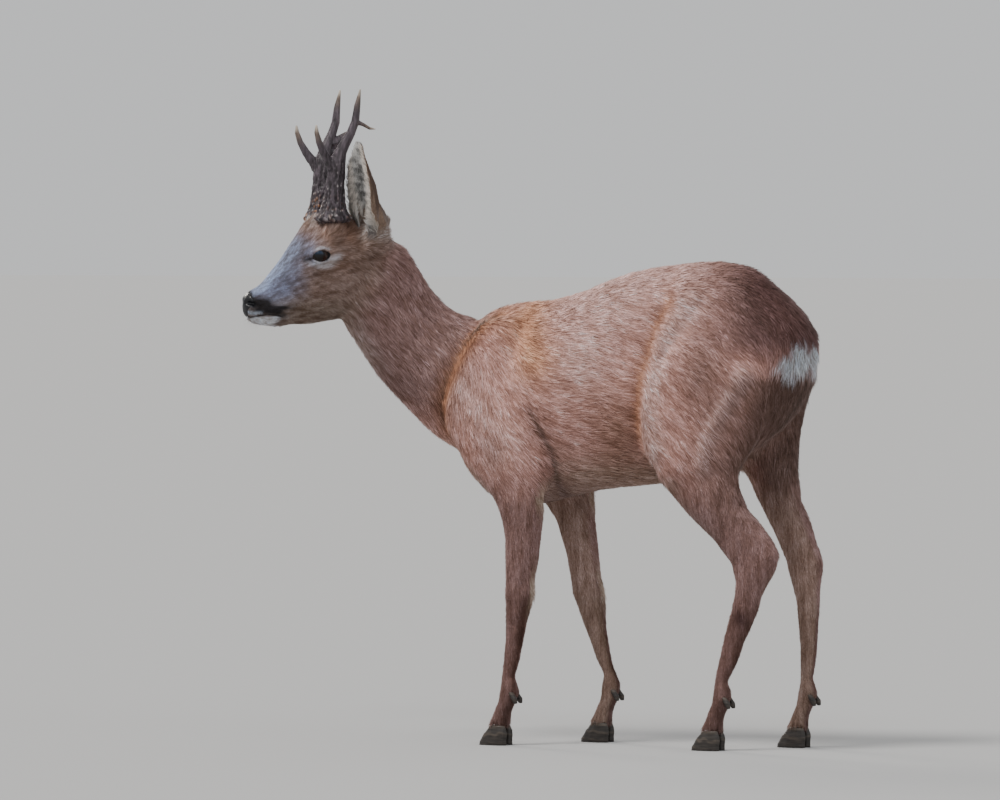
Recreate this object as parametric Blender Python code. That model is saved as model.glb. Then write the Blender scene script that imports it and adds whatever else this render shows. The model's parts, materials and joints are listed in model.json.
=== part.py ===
"""A life-size roebuck (European roe deer) that stands on four hooves and looks round to its left.

The trunk runs along X with the head at -X, the left side at -Y and the soles at Z = 0. Metres.
The flesh is drawn as lofts through cross-sections, fused into one body, shaped by a few soft
swells and hollows, and parted again by thin cuts at the joints. The outline is that of the tips
of the coat. Hooves, dewclaws, eyes, ears and antlers are pieces of their own.
"""

import math

import bmesh
import bpy
import numpy as np
from mathutils import Matrix, Vector

# ---------------------------------------------------------------- driving sizes
GAP = 0.0003  # clearance between two pieces that meet
VOXEL = 0.0045  # grid that fuses the lofts
SMOOTHING = 9
BODY_TRIANGLES = 2450
RING = 28  # points round a body section

# The head is drawn in its own upright frame: forward, left, up.
HEAD_AT = Vector((-0.362, -0.083, 0.0))
HEAD_TURN = math.radians(45)  # to the left of the trunk

EYE = Vector((0.0885, 0.0287, 0.7592))
EYE_RADIUS = 0.0165

# ---------------------------------------------------------------- sections
# Trunk, upright slices: x, top, bottom, half width, height of the widest point,
# and how pointed the back and the belly are (1 is an ellipse).
TRUNK = [
    (0.357, 0.634, 0.584, 0.030, 0.612, 1.0, 1.0),
    (0.345, 0.662, 0.553, 0.060, 0.608, 1.0, 1.0),
    (0.322, 0.690, 0.512, 0.079, 0.605, 1.0, 1.0),
    (0.290, 0.718, 0.480, 0.090, 0.600, 1.1, 1.0),
    (0.255, 0.743, 0.455, 0.094, 0.600, 1.2, 1.0),
    (0.222, 0.7505, 0.440, 0.092, 0.600, 1.25, 1.0),
    (0.171, 0.7515, 0.418, 0.087, 0.590, 1.2, 0.95),
    (0.120, 0.746, 0.407, 0.087, 0.570, 1.1, 0.9),
    (0.068, 0.738, 0.401, 0.092, 0.555, 1.1, 0.9),
    (0.020, 0.724, 0.397, 0.096, 0.545, 1.1, 0.95),
    (-0.034, 0.703, 0.387, 0.097, 0.535, 1.15, 1.0),
    (-0.085, 0.692, 0.375, 0.094, 0.525, 1.3, 1.05),
    (-0.145, 0.687, 0.370, 0.086, 0.520, 1.5, 1.1),
    (-0.185, 0.675, 0.385, 0.074, 0.525, 1.5, 1.1),
    (-0.220, 0.652, 0.420, 0.056, 0.530, 1.3, 1.1),
    (-0.248, 0.622, 0.465, 0.034, 0.535, 1.1, 1.0),
]

# Neck, slices across its own axis: centre x, y, z, half depth, half width.
NECK = [
    (-0.180, 0.000, 0.545, 0.110, 0.066),
    (-0.222, -0.001, 0.560, 0.102, 0.064),
    (-0.260, -0.009, 0.584, 0.091, 0.060),
    (-0.300, -0.028, 0.618, 0.080, 0.052),
    (-0.327, -0.048, 0.658, 0.075, 0.047),
    (-0.346, -0.065, 0.696, 0.076, 0.045),
    (-0.359, -0.079, 0.727, 0.076, 0.043),
    (-0.367, -0.088, 0.754, 0.067, 0.039),
    (-0.372, -0.094, 0.774, 0.048, 0.033),
]

# Head, upright slices in its own frame: forward, top, bottom, half width, widest height,
# and how pointed the brow and the chin are.
HEAD = [
    (0.2035, 0.691, 0.676, 0.0090, 0.684, 0.9, 1.0),
    (0.1990, 0.698, 0.666, 0.0145, 0.683, 0.8, 1.0),
    (0.1900, 0.704, 0.655, 0.0185, 0.683, 0.8, 1.0),
    (0.1780, 0.713, 0.650, 0.0210, 0.683, 0.85, 1.0),
    (0.1620, 0.729, 0.647, 0.0225, 0.685, 0.9, 1.0),
    (0.1460, 0.749, 0.647, 0.0245, 0.692, 0.95, 1.0),
    (0.1280, 0.774, 0.648, 0.0285, 0.705, 0.95, 1.0),
    (0.1100, 0.799, 0.650, 0.0350, 0.722, 0.95, 1.05),
    (0.0940, 0.815, 0.651, 0.0410, 0.738, 0.9, 1.1),
    (0.0760, 0.823, 0.653, 0.0440, 0.745, 0.9, 1.1),
    (0.0560, 0.826, 0.656, 0.0440, 0.745, 0.9, 1.1),
    (0.0360, 0.825, 0.662, 0.0430, 0.745, 0.9, 1.0),
    (0.0160, 0.821, 0.674, 0.0420, 0.748, 0.95, 1.0),
    (-0.0040, 0.813, 0.692, 0.0400, 0.750, 1.0, 1.0),
    (-0.0240, 0.801, 0.716, 0.0350, 0.755, 1.0, 1.0),
    (-0.0400, 0.786, 0.738, 0.0230, 0.760, 1.0, 1.0),
]

# Legs, level slices: height, x, half depth, half width, y away from the middle.
LEFT_FORELEG = [
    (0.660, -0.150, 0.040, 0.016, 0.036),
    (0.620, -0.153, 0.064, 0.026, 0.046),
    (0.560, -0.156, 0.081, 0.033, 0.054),
    (0.500, -0.148, 0.086, 0.037, 0.060),
    (0.450, -0.131, 0.076, 0.037, 0.064),
    (0.410, -0.116, 0.058, 0.034, 0.068),
    (0.380, -0.105, 0.041, 0.031, 0.071),
    (0.350, -0.099, 0.0335, 0.0275, 0.072),
    (0.318, -0.098, 0.0295, 0.0250, 0.072),
    (0.287, -0.100, 0.0270, 0.0230, 0.072),
    (0.256, -0.1035, 0.0235, 0.0205, 0.071),
    (0.236, -0.1040, 0.0240, 0.0200, 0.070),
    (0.216, -0.1065, 0.0208, 0.0180, 0.070),
    (0.194, -0.1095, 0.0185, 0.0145, 0.070),
    (0.163, -0.1135, 0.0165, 0.0120, 0.070),
    (0.130, -0.1185, 0.0148, 0.0108, 0.070),
]
RIGHT_FORELEG = [
    (0.660, -0.145, 0.040, 0.016, 0.036),
    (0.620, -0.146, 0.064, 0.026, 0.046),
    (0.560, -0.146, 0.081, 0.033, 0.054),
    (0.500, -0.142, 0.090, 0.037, 0.060),
    (0.450, -0.128, 0.086, 0.038, 0.064),
    (0.410, -0.106, 0.068, 0.035, 0.068),
    (0.380, -0.088, 0.046, 0.031, 0.071),
    (0.350, -0.076, 0.0330, 0.0275, 0.072),
    (0.318, -0.067, 0.0290, 0.0250, 0.072),
    (0.287, -0.061, 0.0265, 0.0230, 0.072),
    (0.256, -0.0560, 0.0250, 0.0205, 0.071),
    (0.236, -0.0510, 0.0260, 0.0200, 0.070),
    (0.212, -0.0460, 0.0240, 0.0180, 0.070),
    (0.190, -0.0415, 0.0208, 0.0145, 0.070),
    (0.163, -0.0340, 0.0172, 0.0120, 0.070),
    (0.130, -0.0245, 0.0145, 0.0108, 0.070),
]
LEFT_HINDLEG = [
    (0.680, 0.250, 0.060, 0.026, 0.046),
    (0.628, 0.236, 0.102, 0.040, 0.056),
    (0.580, 0.218, 0.114, 0.048, 0.060),
    (0.535, 0.205, 0.114, 0.051, 0.062),
    (0.488, 0.196, 0.105, 0.050, 0.064),
    (0.457, 0.192, 0.092, 0.046, 0.066),
    (0.426, 0.193, 0.072, 0.040, 0.066),
    (0.400, 0.206, 0.061, 0.035, 0.066),
    (0.375, 0.222, 0.055, 0.031, 0.066),
    (0.349, 0.2466, 0.0535, 0.0270, 0.066),
    (0.318, 0.2752, 0.0490, 0.0235, 0.066),
    (0.302, 0.2853, 0.0465, 0.0220, 0.066),
    (0.285, 0.2895, 0.0380, 0.0210, 0.066),
    (0.264, 0.2867, 0.0300, 0.0195, 0.066),
    (0.240, 0.2797, 0.0235, 0.0165, 0.066),
    (0.217, 0.2735, 0.0232, 0.0150, 0.066),
    (0.194, 0.2650, 0.0213, 0.0135, 0.066),
    (0.165, 0.2545, 0.0190, 0.0120, 0.066),
    (0.130, 0.2435, 0.0164, 0.0112, 0.066),
]
RIGHT_HINDLEG = [
    (0.680, 0.250, 0.060, 0.026, 0.046),
    (0.628, 0.238, 0.103, 0.040, 0.056),
    (0.580, 0.226, 0.113, 0.048, 0.060),
    (0.535, 0.220, 0.103, 0.051, 0.062),
    (0.488, 0.228, 0.083, 0.048, 0.064),
    (0.457, 0.243, 0.063, 0.042, 0.066),
    (0.426, 0.2600, 0.0460, 0.0360, 0.066),
    (0.380, 0.2762, 0.0357, 0.0300, 0.066),
    (0.349, 0.2920, 0.0335, 0.0270, 0.066),
    (0.318, 0.3045, 0.0310, 0.0240, 0.066),
    (0.292, 0.3155, 0.0310, 0.0220, 0.066),
    (0.272, 0.3190, 0.0280, 0.0200, 0.066),
    (0.250, 0.3200, 0.0235, 0.0175, 0.066),
    (0.225, 0.3226, 0.0200, 0.0150, 0.066),
    (0.194, 0.3235, 0.0175, 0.0130, 0.066),
    (0.163, 0.3235, 0.0158, 0.0115, 0.066),
    (0.130, 0.3225, 0.0142, 0.0108, 0.066),
]
# Foot below the cannon, from the fetlock's x: height, forward step, half depth, half width.
FOOT = [
    (0.104, 0.0005, 0.0125, 0.0108),
    (0.088, -0.0020, 0.0158, 0.0150),
    (0.074, 0.0005, 0.0155, 0.0158),
    (0.060, 0.0065, 0.0140, 0.0160),
    (0.046, 0.0120, 0.0150, 0.0172),
    (0.034, 0.0150, 0.0170, 0.0180),
    (0.026, 0.0165, 0.0175, 0.0175),
]
# leg name, its sections, side (left is -1), fetlock x, fetlock y from the middle
LEGS = [
    ("foreleg_left", LEFT_FORELEG, -1, -0.1235, 0.070),
    ("foreleg_right", RIGHT_FORELEG, 1, -0.0135, 0.070),
    ("hindleg_left", LEFT_HINDLEG, -1, 0.2345, 0.066),
    ("hindleg_right", RIGHT_HINDLEG, 1, 0.3210, 0.066),
]

# Soft swells (+) and hollows (-) of the body: centre, radii, height of the push.
# Those of a pair are given for the left side and mirrored.
FORMS = [
    ((0.085, -0.085, 0.600), (0.050, 0.050, 0.060), -0.007),  # flank hollow
    ((0.165, -0.070, 0.700), (0.030, 0.040, 0.022), 0.006),  # point of the hip
    ((-0.140, -0.060, 0.655), (0.030, 0.040, 0.030), 0.004),  # shoulder blade
]


# ---------------------------------------------------------------- head furniture, head's frame
# Path (forward, left, up) and radii of each part of the left antler.
ANTLER = {
    "beam": (
        [
            (0.0640, 0.0280, 0.798),
            (0.0640, 0.0280, 0.815),
            (0.0638, 0.0285, 0.827),
            (0.0632, 0.0295, 0.843),
            (0.0622, 0.0325, 0.872),
            (0.0600, 0.0370, 0.906),
            (0.0550, 0.0400, 0.923),
        ],
        [0.0150, 0.0235, 0.0240, 0.0180, 0.0148, 0.0132, 0.0090],
    ),
    "front_tine": (
        [
            (0.0665, 0.0350, 0.889),
            (0.0753, 0.0380, 0.905),
            (0.0850, 0.0420, 0.919),
            (0.0935, 0.0450, 0.935),
            (0.0980, 0.0470, 0.950),
            (0.0987, 0.0480, 0.9615),
        ],
        [0.0080, 0.0078, 0.0066, 0.0052, 0.0038, 0.0013],
    ),
    "top": (
        [
            (0.0580, 0.0385, 0.914),
            (0.0500, 0.0420, 0.932),
            (0.0410, 0.0450, 0.949),
            (0.0345, 0.0465, 0.966),
            (0.0315, 0.0477, 0.991),
            (0.0266, 0.0480, 1.017),
        ],
        [0.0100, 0.0086, 0.0074, 0.0067, 0.0052, 0.0013],
    ),
    "rear_tine": (
        [
            (0.0330, 0.0470, 0.966),
            (0.0220, 0.0480, 0.962),
            (0.0110, 0.0480, 0.956),
            (0.0010, 0.0460, 0.955),
        ],
        [0.0042, 0.0030, 0.0024, 0.0010],
    ),
}
# The right one is its mirror image, but for a stouter and steeper rear tine.
RIGHT_REAR_TINE = (
    [
        (0.0430, 0.0450, 0.932),
        (0.0290, 0.0462, 0.937),
        (0.0120, 0.0470, 0.949),
        (0.0000, 0.0465, 0.967),
    ],
    [0.0100, 0.0092, 0.0055, 0.0012],
)
ANTLER_SIDES = 8
# Half the distance between the ear's edges and its depth behind them, from root to tip.
EAR_SECTIONS = [
    (0.010, 0.038),
    (0.0130, 0.045),
    (0.0290, 0.031),
    (0.0300, 0.026),
    (0.0255, 0.0165),
    (0.0160, 0.0060),
    (0.0080, 0.0015),
]
EAR_ACROSS = 8
EAR_EDGE = 0.0018
EAR_MIDDLE = 0.0080
EAR_FULL = 0.026  # half width at which the ear has its full thickness
# Line midway between the edges of each ear, and the way it opens.
LEFT_EAR = (
    [
        (0.0180, 0.034, 0.778),
        (0.0190, 0.040, 0.806),
        (0.0269, 0.046, 0.835),
        (0.0313, 0.053, 0.865),
        (0.0350, 0.060, 0.892),
        (0.0357, 0.067, 0.915),
        (0.0356, 0.071, 0.930),
    ],
    (0.951, 0.309),
)
RIGHT_EAR = (
    [
        (0.0135, -0.034, 0.778),
        (0.0113, -0.040, 0.806),
        (0.0054, -0.047, 0.835),
        (-0.0007, -0.055, 0.865),
        (-0.0074, -0.062, 0.892),
        (-0.0130, -0.068, 0.912),
        (-0.0157, -0.071, 0.925),
    ],
    (0.951, -0.309),
)

# ---------------------------------------------------------------- hooves
HOOF_TOP = 0.031
# Height, shift and half sizes of a claw's slices; its toe is narrower by HOOF_POINT.
HOOF = [
    (0.0, -0.0040, 0.0245, 0.0090),
    (0.006, -0.0035, 0.0240, 0.0092),
    (0.018, 0.0005, 0.0205, 0.0090),
    (HOOF_TOP, 0.0050, 0.0150, 0.0078),
]
HOOF_SIDES = 10
HOOF_POINT = 0.45
HOOF_APART = 0.0099
HOOF_AHEAD = 0.0190
TOE_IN = 0.0010
# Drop, step back and half sizes of a dewclaw's slices.
DEWCLAW = [
    (0.0, -0.004, 0.0050, 0.0042),
    (0.009, 0.002, 0.0062, 0.0050),
    (0.018, 0.005, 0.0034, 0.0030),
]
DEWCLAW_TOP = 0.083
DEWCLAW_APART = 0.0095
DEWCLAW_BACK = 0.0110

# ---------------------------------------------------------------- where the flesh is parted
OUTSIDE = 0.25  # further out than any flesh
HEAD_CUT = (0.0075, 0, 0.7275)
NECK_CUT = (-0.208, -0.02, 0.590)
NECK_WAY = (-0.918, 0, 0.395)
CHEST_END = -0.050
RUMP_START = 0.095
FORE_SPAN = (-0.26, 0.07)
HIND_SPAN = (0.10, 0.40)
TAIL = ((0.354, 0, 0.616), (0.026, 0.015, 0.034))
NOSE = ((0.204, 0, 0.690), (0.016, 0.016, 0.0145))
JAW_CUT = (0.150, 0, 0.666)
JAW_WAY = (0, 0, -1)
SHOULDER = [
    (-0.215, 0.370),
    (-0.240, 0.430),
    (-0.228, 0.500),
    (-0.205, 0.570),
    (-0.180, 0.630),
    (-0.150, 0.655),
    (-0.115, 0.645),
    (-0.095, 0.600),
    (-0.088, 0.540),
    (-0.068, 0.480),
    (-0.040, 0.430),
    (-0.030, 0.370),
]
THIGH = [
    (0.150, 0.395),
    (0.122, 0.425),
    (0.099, 0.475),
    (0.094, 0.540),
    (0.105, 0.610),
    (0.128, 0.675),
    (0.165, 0.715),
    (0.215, 0.722),
    (0.265, 0.700),
    (0.300, 0.655),
    (0.322, 0.590),
    (0.328, 0.520),
    (0.325, 0.395),
]
# piece, its outline, its inner face's distance from the middle and how far that leans out
UPPER_LEG = {"fore": ("shoulder", SHOULDER, 0.018, 0.095), "hind": ("thigh", THIGH, 0.002, 0.178)}
PASTERN = ("pastern", HOOF_TOP + GAP, 0.0975)
FORE_SEGMENTS = [("forearm", 0.2225, 0.3695), ("cannon", 0.098, 0.222), PASTERN]
SEGMENTS = {
    "foreleg_left": FORE_SEGMENTS,
    "foreleg_right": FORE_SEGMENTS,
    "hindleg_left": [("shank", 0.2725, 0.3945), ("cannon", 0.098, 0.272), PASTERN],
    "hindleg_right": [("shank", 0.2555, 0.3945), ("cannon", 0.098, 0.255), PASTERN],
}

# ---------------------------------------------------------------- looks
# colour, roughness
MATERIALS = {
    "coat": ((0.28, 0.15, 0.09), 0.8),
    "rump_patch": ((0.62, 0.58, 0.52), 0.85),
    "naked_skin": ((0.012, 0.012, 0.014), 0.35),
    "eye": ((0.010, 0.007, 0.005), 0.08),
    "antler": ((0.055, 0.040, 0.034), 0.5),
    "horn": ((0.030, 0.026, 0.024), 0.4),
}
# The first word found in a piece's name gives its material.
FINISHES = [
    ("nose", "naked_skin"),
    ("eye", "eye"),
    ("antler", "antler"),
    ("hoof", "horn"),
    ("dewclaw", "horn"),
    ("tail", "rump_patch"),
    ("", "coat"),
]

# ---------------------------------------------------------------- mesh tools
def clear_scene():
    for obj in list(bpy.data.objects):
        bpy.data.objects.remove(obj)


def material(name, colour, roughness, metallic=0.0):
    made = bpy.data.materials.new(name)
    made.use_nodes = True
    shader = made.node_tree.nodes["Principled BSDF"]
    shader.inputs["Base Color"].default_value = (*colour, 1.0)
    shader.inputs["Roughness"].default_value = roughness
    shader.inputs["Metallic"].default_value = metallic
    return made


def object_from(name, mesh_maker):
    """An object whose mesh is what mesh_maker leaves in a new bmesh."""
    bm = bmesh.new()
    mesh_maker(bm)
    bmesh.ops.triangulate(bm, faces=bm.faces)
    bmesh.ops.recalc_face_normals(bm, faces=bm.faces)
    mesh = bpy.data.meshes.new(name)
    bm.to_mesh(mesh)
    bm.free()
    obj = bpy.data.objects.new(name, mesh)
    bpy.context.scene.collection.objects.link(obj)
    return obj


def end_face(bm, loop):
    bm.faces.new(loop)


def sheet_end(bm, loop):
    """Closes a ring that runs along one side of a sheet and back along the other."""
    last = len(loop) - 1
    for i in range(len(loop) // 2 - 1):
        bm.faces.new((loop[i], loop[i + 1], loop[last - i - 1], loop[last - i]))


def loft(name, rings, close_end=end_face):
    """A closed tube through rings that all have the same number of points."""

    def make(bm):
        loops = [[bm.verts.new(p) for p in ring] for ring in rings]
        around = len(loops[0])
        for a, b in zip(loops, loops[1:]):
            for i in range(around):
                j = (i + 1) % around
                bm.faces.new((a[i], a[j], b[j], b[i]))
        close_end(bm, loops[0])
        close_end(bm, loops[-1])

    return object_from(name, make)


def smooth_rows(rows, steps):
    """Rows with steps - 1 new ones between neighbours, on a Catmull-Rom curve through them."""
    rows = np.array(rows, float)
    t = np.concatenate([[0], np.cumsum(np.linalg.norm(np.diff(rows[:, :3], axis=0), axis=1))])
    slope = np.gradient(rows, t, axis=0)
    made = []
    for i in range(len(rows) - 1):
        span = t[i + 1] - t[i]
        for s in np.arange(steps) / steps:
            made.append(
                rows[i] * (1 + 2 * s) * (1 - s) ** 2
                + slope[i] * span * s * (1 - s) ** 2
                + rows[i + 1] * s * s * (3 - 2 * s)
                + slope[i + 1] * span * s * s * (s - 1)
            )
    return [*made, rows[-1]]


def circle(count=RING):
    return [2 * math.pi * i / count for i in range(count)]


def power(value, exponent):
    return math.copysign(abs(value) ** exponent, value)


def upright_ring(row, place):
    """A section across the trunk or the head. place turns (along, side, height) into a point."""
    along, top, bottom, half, widest, top_power, bottom_power = row
    ring = []
    for angle in circle():
        across, rise = math.cos(angle), math.sin(angle)
        reach = top - widest if rise > 0 else widest - bottom
        side = half * power(across, top_power if rise > 0 else bottom_power)
        ring.append(place(along, side, widest + reach * rise))
    return ring


def level_ring(z, x, y, half_depth, half_width):
    return [
        Vector((x + half_depth * math.cos(a), y + half_width * math.sin(a), z)) for a in circle()
    ]


def path_ring(centre, tangent, half_depth, half_width, count=RING):
    """A section across a path. Its width is level."""
    side = tangent.cross(Vector((0, 0, 1))).normalized()
    rise = side.cross(tangent).normalized()
    return [
        centre + side * (half_width * math.cos(a)) + rise * (half_depth * math.sin(a))
        for a in circle(count)
    ]


def tangents(points):
    ends = zip([points[0], *points[:-1]], [*points[1:], points[-1]])
    return [(b - a).normalized() for a, b in ends]


def head_point(forward, left, up):
    """A place in the head's frame, in the model's frame."""
    ahead = Vector((-math.cos(HEAD_TURN), -math.sin(HEAD_TURN), 0))
    to_left = Vector((math.sin(HEAD_TURN), -math.cos(HEAD_TURN), 0))
    return HEAD_AT + ahead * forward + to_left * left + Vector((0, 0, up))


def apply_modifiers(obj):
    """Replaces the mesh by what its modifiers make of it."""
    graph = bpy.context.evaluated_depsgraph_get()
    mesh = bpy.data.meshes.new_from_object(obj.evaluated_get(graph))
    obj.modifiers.clear()
    obj.data = mesh
    return obj


def join(name, parts):
    """One object that holds the meshes of parts, which are removed."""

    def make(bm):
        for part in parts:
            bm.from_mesh(part.data)

    joined = object_from(name, make)
    for part in parts:
        bpy.data.objects.remove(part)
    return joined


def subtract(obj, cutter):
    """Cuts cutter out of obj, and removes cutter."""
    change = obj.modifiers.new("cut", "BOOLEAN")
    change.operation = "DIFFERENCE"
    change.solver = "EXACT"
    change.object = cutter
    apply_modifiers(obj)
    bpy.data.objects.remove(cutter)
    return obj


def grown(obj, by=GAP):
    """A copy of obj whose surface lies further out, to cut room for obj."""
    copy = bpy.data.objects.new(obj.name + "_room", obj.data.copy())
    bpy.context.scene.collection.objects.link(copy)
    bm = bmesh.new()
    bm.from_mesh(copy.data)
    bm.normal_update()
    moves = [v.normal * (by * v.calc_shell_factor()) for v in bm.verts]
    for vert, move in zip(bm.verts, moves):
        vert.co += move
    bm.to_mesh(copy.data)
    bm.free()
    return copy


# ---------------------------------------------------------------- the fused flesh
def leg_rings(sections, side, fetlock_x, fetlock_y):
    foot = [(z, fetlock_x - step, a, b, fetlock_y) for z, step, a, b in FOOT]
    rows = smooth_rows([*sections, *foot], 4)
    return [level_ring(z, x, side * y, a, b) for z, x, a, b, y in rows]


def flesh_lofts():
    trunk = [upright_ring(row, lambda x, y, z: Vector((x, y, z))) for row in smooth_rows(TRUNK, 3)]
    head = [upright_ring(row, head_point) for row in smooth_rows(HEAD, 3)]
    neck_rows = smooth_rows(NECK, 4)
    centres = [Vector(row[:3]) for row in neck_rows]
    neck = [
        path_ring(centre, along, row[3], row[4])
        for centre, along, row in zip(centres, tangents(centres), neck_rows)
    ]
    lofts = [loft("trunk", trunk), loft("neck", neck), loft("head", head)]
    for name, sections, side, x, y in LEGS:
        lofts.append(loft(name, leg_rings(sections, side, x, y)))
    return lofts


def push(points, normals, centre, radii, height):
    away = (points - np.array(centre)) / np.array(radii)
    return points + normals * (height * np.exp(-(away**2).sum(1)))[:, None]


def shape_forms(obj):
    """Adds the swells and hollows of FORMS to both sides."""
    count = len(obj.data.vertices)
    points, normals = np.empty(count * 3), np.empty(count * 3)
    obj.data.vertices.foreach_get("co", points)
    obj.data.vertices.foreach_get("normal", normals)
    points, normals = points.reshape(-1, 3), normals.reshape(-1, 3)
    for (x, y, z), radii, height in FORMS:
        for side in (1, -1):
            points = push(points, normals, (x, side * y, z), radii, height)
    obj.data.vertices.foreach_set("co", points.ravel())
    obj.data.update()


def fused_flesh():
    body = join("body", flesh_lofts())
    fuse = body.modifiers.new("fuse", "REMESH")
    fuse.mode = "VOXEL"
    fuse.voxel_size = VOXEL
    soften = body.modifiers.new("soften", "SMOOTH")
    soften.factor = 0.5
    soften.iterations = SMOOTHING
    apply_modifiers(body)
    shape_forms(body)
    thin = body.modifiers.new("thin", "DECIMATE")
    body.data.calc_loop_triangles()
    thin.ratio = BODY_TRIANGLES / len(body.data.loop_triangles)
    return apply_modifiers(body)


# ---------------------------------------------------------------- pieces set into the flesh
def tube(name, path, radii, count):
    """A closed tube along path, which is given in the head's frame."""
    centres = [Vector(point) for point in path]
    rings = []
    for centre, along, radius in zip(centres, tangents(centres), radii):
        side = along.cross(Vector((0, 1, 0))).normalized()
        rise = along.cross(side).normalized()
        rings.append(
            [
                centre + side * (radius * math.cos(a)) + rise * (radius * math.sin(a))
                for a in circle(count)
            ]
        )
    return loft(name, [[head_point(*p) for p in ring] for ring in rings])


def antler(side, name):
    """Beam, front tine, top and rear tine, parted at the two forks."""
    parts = {}
    shapes = ANTLER if side > 0 else {**ANTLER, "rear_tine": RIGHT_REAR_TINE}
    for part, (path, radii) in shapes.items():
        mirrored = [(f, side * left, up) for f, left, up in path]
        parts[part] = tube(f"antler_{name}_{part}", mirrored, radii, ANTLER_SIDES)
    for part, root in (("front_tine", "beam"), ("top", "beam"), ("rear_tine", "top")):
        subtract(parts[part], grown(parts[root]))
    subtract(parts["front_tine"], grown(parts["top"]))
    return list(parts.values())


def ear(name, path, facing):
    """A leaf rolled into a cup that opens towards facing, thick where hair fills it."""
    opening = Vector((*facing, 0)).normalized()
    outer, inner = [], []
    centres = [Vector(point) for point in path]
    for edges, along, (half, depth) in zip(centres, tangents(centres), EAR_SECTIONS):
        spread = 2 * math.atan(depth / half)
        radius = half / math.sin(spread)
        front = (opening - along * opening.dot(along)).normalized()
        across = along.cross(front)
        centre = edges + front * (radius * math.cos(spread))
        for line, wall in ((outer, lambda s: 0.0), (inner, ear_wall)):
            ring = []
            for step in range(EAR_ACROSS + 1):
                s = 2 * step / EAR_ACROSS - 1
                reach = radius - wall(s) * min(1.0, half / EAR_FULL + 0.1)
                ring.append(
                    centre
                    + across * (reach * math.sin(spread * s))
                    - front * (reach * math.cos(spread * s))
                )
            line.append([head_point(*p) for p in ring])
    return loft(name, [a + b[::-1] for a, b in zip(outer, inner)], sheet_end)


def ear_wall(s):
    """Thickness of the ear at s, from -1 at one edge to 1 at the other."""
    return EAR_EDGE + (EAR_MIDDLE - EAR_EDGE) * (1 - s * s)


def eyeball(name, side):
    def make(bm):
        place = Matrix.Translation(head_point(EYE.x, side * EYE.y, EYE.z))
        bmesh.ops.create_icosphere(bm, subdivisions=2, radius=EYE_RADIUS, matrix=place)

    return object_from(name, make)


def hoof_claw(name, x, y, toe_in):
    """One half of a cloven hoof, flat below, with its toe at -X."""
    rings = []
    for z, shift, half_length, half_width in HOOF:
        ring = []
        for a in circle(HOOF_SIDES):
            along, across = math.cos(a), math.sin(a)
            width = half_width * (1 - HOOF_POINT * (1 - along) / 2)
            ring.append(
                Vector((x + shift + half_length * along, y + width * across + toe_in * along, z))
            )
        rings.append(ring)
    return loft(name, rings)


def dewclaw(name, x, y):
    rings = []
    for drop, back, half_depth, half_width in DEWCLAW:
        rings.append(level_ring(DEWCLAW_TOP - drop, x + back, y, half_depth, half_width)[::4])
    return loft(name, rings)


def feet():
    """Hooves and dewclaws of the four legs, by leg."""
    made = {}
    for leg, _, side, x, y in LEGS:
        parts = []
        for claw, way in (("inner", -1), ("outer", 1)):
            at = side * (y + way * HOOF_APART)
            parts.append(hoof_claw(f"{leg}_hoof_{claw}", x - HOOF_AHEAD, at, side * way * TOE_IN))
            at = side * (y + way * DEWCLAW_APART)
            parts.append(dewclaw(f"{leg}_dewclaw_{claw}", x + DEWCLAW_BACK, at))
        made[leg] = parts
    return made


# ---------------------------------------------------------------- regions that part the flesh
def half_space(point, normal, size=0.5):
    """A cube that stands on the plane through point and lies on the side of normal."""

    def make(bm):
        turn = Vector(normal).to_track_quat("Z", "Y").to_matrix().to_4x4()
        place = Matrix.Translation(point) @ turn @ Matrix.Translation((0, 0, size / 2))
        bmesh.ops.create_cube(bm, size=size, matrix=place)

    return object_from("region", make)


def box(low, high):
    def make(bm):
        middle = [(a + b) / 2 for a, b in zip(low, high)]
        size = [b - a for a, b in zip(low, high)]
        place = Matrix.Translation(middle) @ Matrix.Diagonal((*size, 1))
        bmesh.ops.create_cube(bm, size=1, matrix=place)

    return object_from("region", make)


def ellipsoid(centre, radii):
    def make(bm):
        place = Matrix.Translation(centre) @ Matrix.Diagonal((*radii, 1))
        bmesh.ops.create_icosphere(bm, subdivisions=2, radius=1, matrix=place)

    return object_from("region", make)


def side_region(outline, side, depth, lean):
    """What lies outside a slanting plane, within an outline seen from the side."""
    lowest = min(z for _, z in outline)
    inner = [Vector((x, side * (depth + lean * (z - lowest)), z)) for x, z in outline]
    outer = [Vector((x, side * OUTSIDE, z)) for x, z in outline]
    return loft("region", [inner, outer])


def take(rest, region, name):
    """Splits the part of rest that lies in region off as a piece, a gap away from rest."""
    piece = bpy.data.objects.new(name, rest.data.copy())
    bpy.context.scene.collection.objects.link(piece)
    change = piece.modifiers.new("keep", "BOOLEAN")
    change.operation = "INTERSECT"
    change.solver = "EXACT"
    change.object = region
    apply_modifiers(piece)
    subtract(rest, grown(region))
    bpy.data.objects.remove(region)
    return piece


def part_leg(rest, leg, side):
    """Three segments below the shoulder or thigh, each from one height to the next."""
    x0, x1 = FORE_SPAN if leg.startswith("fore") else HIND_SPAN
    y0, y1 = sorted((side * 0.001, side * OUTSIDE))
    pieces = []
    for segment, low, high in SEGMENTS[leg]:
        pieces.append(take(rest, box((x0, y0, low), (x1, y1, high)), f"{leg}_{segment}"))
    return pieces


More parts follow.
